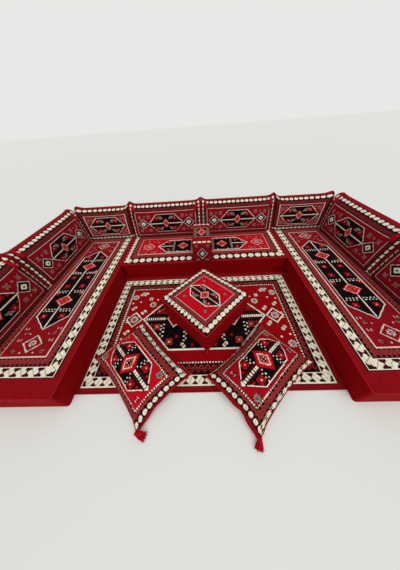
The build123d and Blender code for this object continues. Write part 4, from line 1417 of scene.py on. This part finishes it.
def makeRug():
    # a thin slab, inTape mm smaller all round than the bound rug, whose top swells by about a millimetre in
    # two sine waves, as a laid rug does, and is calm at its edges
    r = rugLook
    half, depth = r["length"] / 2 - r["inTape"], r["depth"] - 2 * r["inTape"]
    q = np.linspace(-half, half, round(2 * half / r["stitch"]) + 1)
    over = round(depth / r["stitch"])
    f = np.linspace(0, 1, over + 1)
    a = q[:, None]
    lift = 0.7 * (np.sin(a / 83) * np.sin(f * 21) + np.sin(a / 37 + f * 9) * 0.6)
    calm = np.minimum(1, np.minimum(half - np.abs(a), np.minimum(f, 1 - f) * depth) / 60)
    top = r["thick"] - 0.8 + np.maximum(lift * calm, -0.6)
    back = np.array([1, 0.66, 0.33, 0]) * depth
    x, y = np.meshgrid(q, np.concatenate([f * depth, back]) - depth / 2, indexing="ij")
    z = np.concatenate([top, np.full((len(q), len(back)), r["under"])], 1)
    around = np.concatenate([f * depth, [depth + 6, depth * 1.33, depth * 1.66, depth * 2, depth * 2 + 6]])
    around += r["inTape"]
    u, v = faceMiddles(q, around)
    dye = np.full(u.shape, yarn.maroon)
    dye[:, :over] = rugDye(u[:, :over], v[:, :over])
    maps = np.meshgrid(q, around, indexing="ij")
    piece = clothMesh("woven_rug", np.stack([x, y, z], -1), *maps, dye, [rugWool])
    sharpen(piece, r["sharp"])
    finishPiece(piece, "root", ["rug"])


def makeTape():
    # the tape's section carried round the rug's outline, mitred at the corners
    r = rugLook
    outline = np.array([(-1, -1), (1, -1), (1, 1), (-1, 1)], float)
    share = np.linspace(0, 1, r["tapeSteps"], endpoint=False)[None, :, None]
    path = (outline[:, None] + (np.roll(outline, -1, 0) - outline)[:, None] * share).reshape(-1, 2)
    inwards, up = np.array(r["tape"]).T
    x = path[:, 0:1] * (r["length"] / 2 - inwards)
    y = path[:, 1:2] * (r["depth"] / 2 - inwards)
    tape = np.stack(np.broadcast_arrays(x, y, up[None]), -1)
    run = np.linspace(0, 2 * (r["length"] + r["depth"]), len(path), endpoint=False)
    maps = np.meshgrid(run, np.arange(len(up) + 1) * r["tapeTurn"], indexing="ij")
    dye = np.full((len(path), len(up)), yarn.hem)
    binding = clothMesh("rug_binding_tape", tape, *maps, dye, [bindingTape], True)
    sharpen(binding, r["tapeSharp"])
    finishPiece(binding, "root", ["rug_binding"])


makeRug()
makeTape()

print("zips")
for nodeName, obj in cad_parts.items():
    if nodeName.endswith("_zip_slider"):
        obj.data.materials.clear()
        obj.data.materials.append(zipNickel)

print("floor and light")

floorLook = {"size": 80.0, "hex": "#e6e7e2", "rough": 0.6}  # metres


def makeFloor(f):
    # a plain pale floor: a large square on z = 0
    floor, mesh = newPiece("floor", plainMaterial("plainPaleFloor", f["hex"], f["rough"]))
    h = f["size"] / 2
    mesh.from_pydata([(-h, -h, 0), (h, -h, 0), (h, h, 0), (-h, h, 0)], [], [(0, 1, 2, 3)])


makeFloor(floorLook)

lights = {
    "ambient": 0.58, "background": "#e8e9e7",
    "sun": {"strength": 1.55, "softness": 70, "tilt": 24, "from": 200},  # degrees
}


def makeLights(look):
    # a plain studio: an even pale world, brighter to the camera than as light, and one very soft sun
    world = bpy.data.worlds.new("studio")
    world.use_nodes = True
    scene.world = world
    tree = world.node_tree
    path = add(tree, "ShaderNodeLightPath")
    seen = add(tree, "ShaderNodeMath", {0: path.outputs["Is Camera Ray"], 1: path.outputs["Is Glossy Ray"]},
               operation="MAXIMUM")
    strength = add(tree, "ShaderNodeMapRange", {"Value": seen.outputs[0], "To Min": look["ambient"],
                                                "To Max": 1.0})
    tree.nodes["Background"].inputs["Color"].default_value = colour(look["background"])
    tree.links.new(strength.outputs[0], tree.nodes["Background"].inputs["Strength"])
    sun = look["sun"]
    data = bpy.data.lights.new("softSun", "SUN")
    data.energy, data.angle = sun["strength"], math.radians(sun["softness"])
    lamp = bpy.data.objects.new("softSun", data)
    lamp.rotation_euler = (math.radians(sun["tilt"]), 0, math.radians(sun["from"] - 180))
    scene.collection.objects.link(lamp)


makeLights(lights)
scene.view_settings.view_transform = "Standard"

print("done")
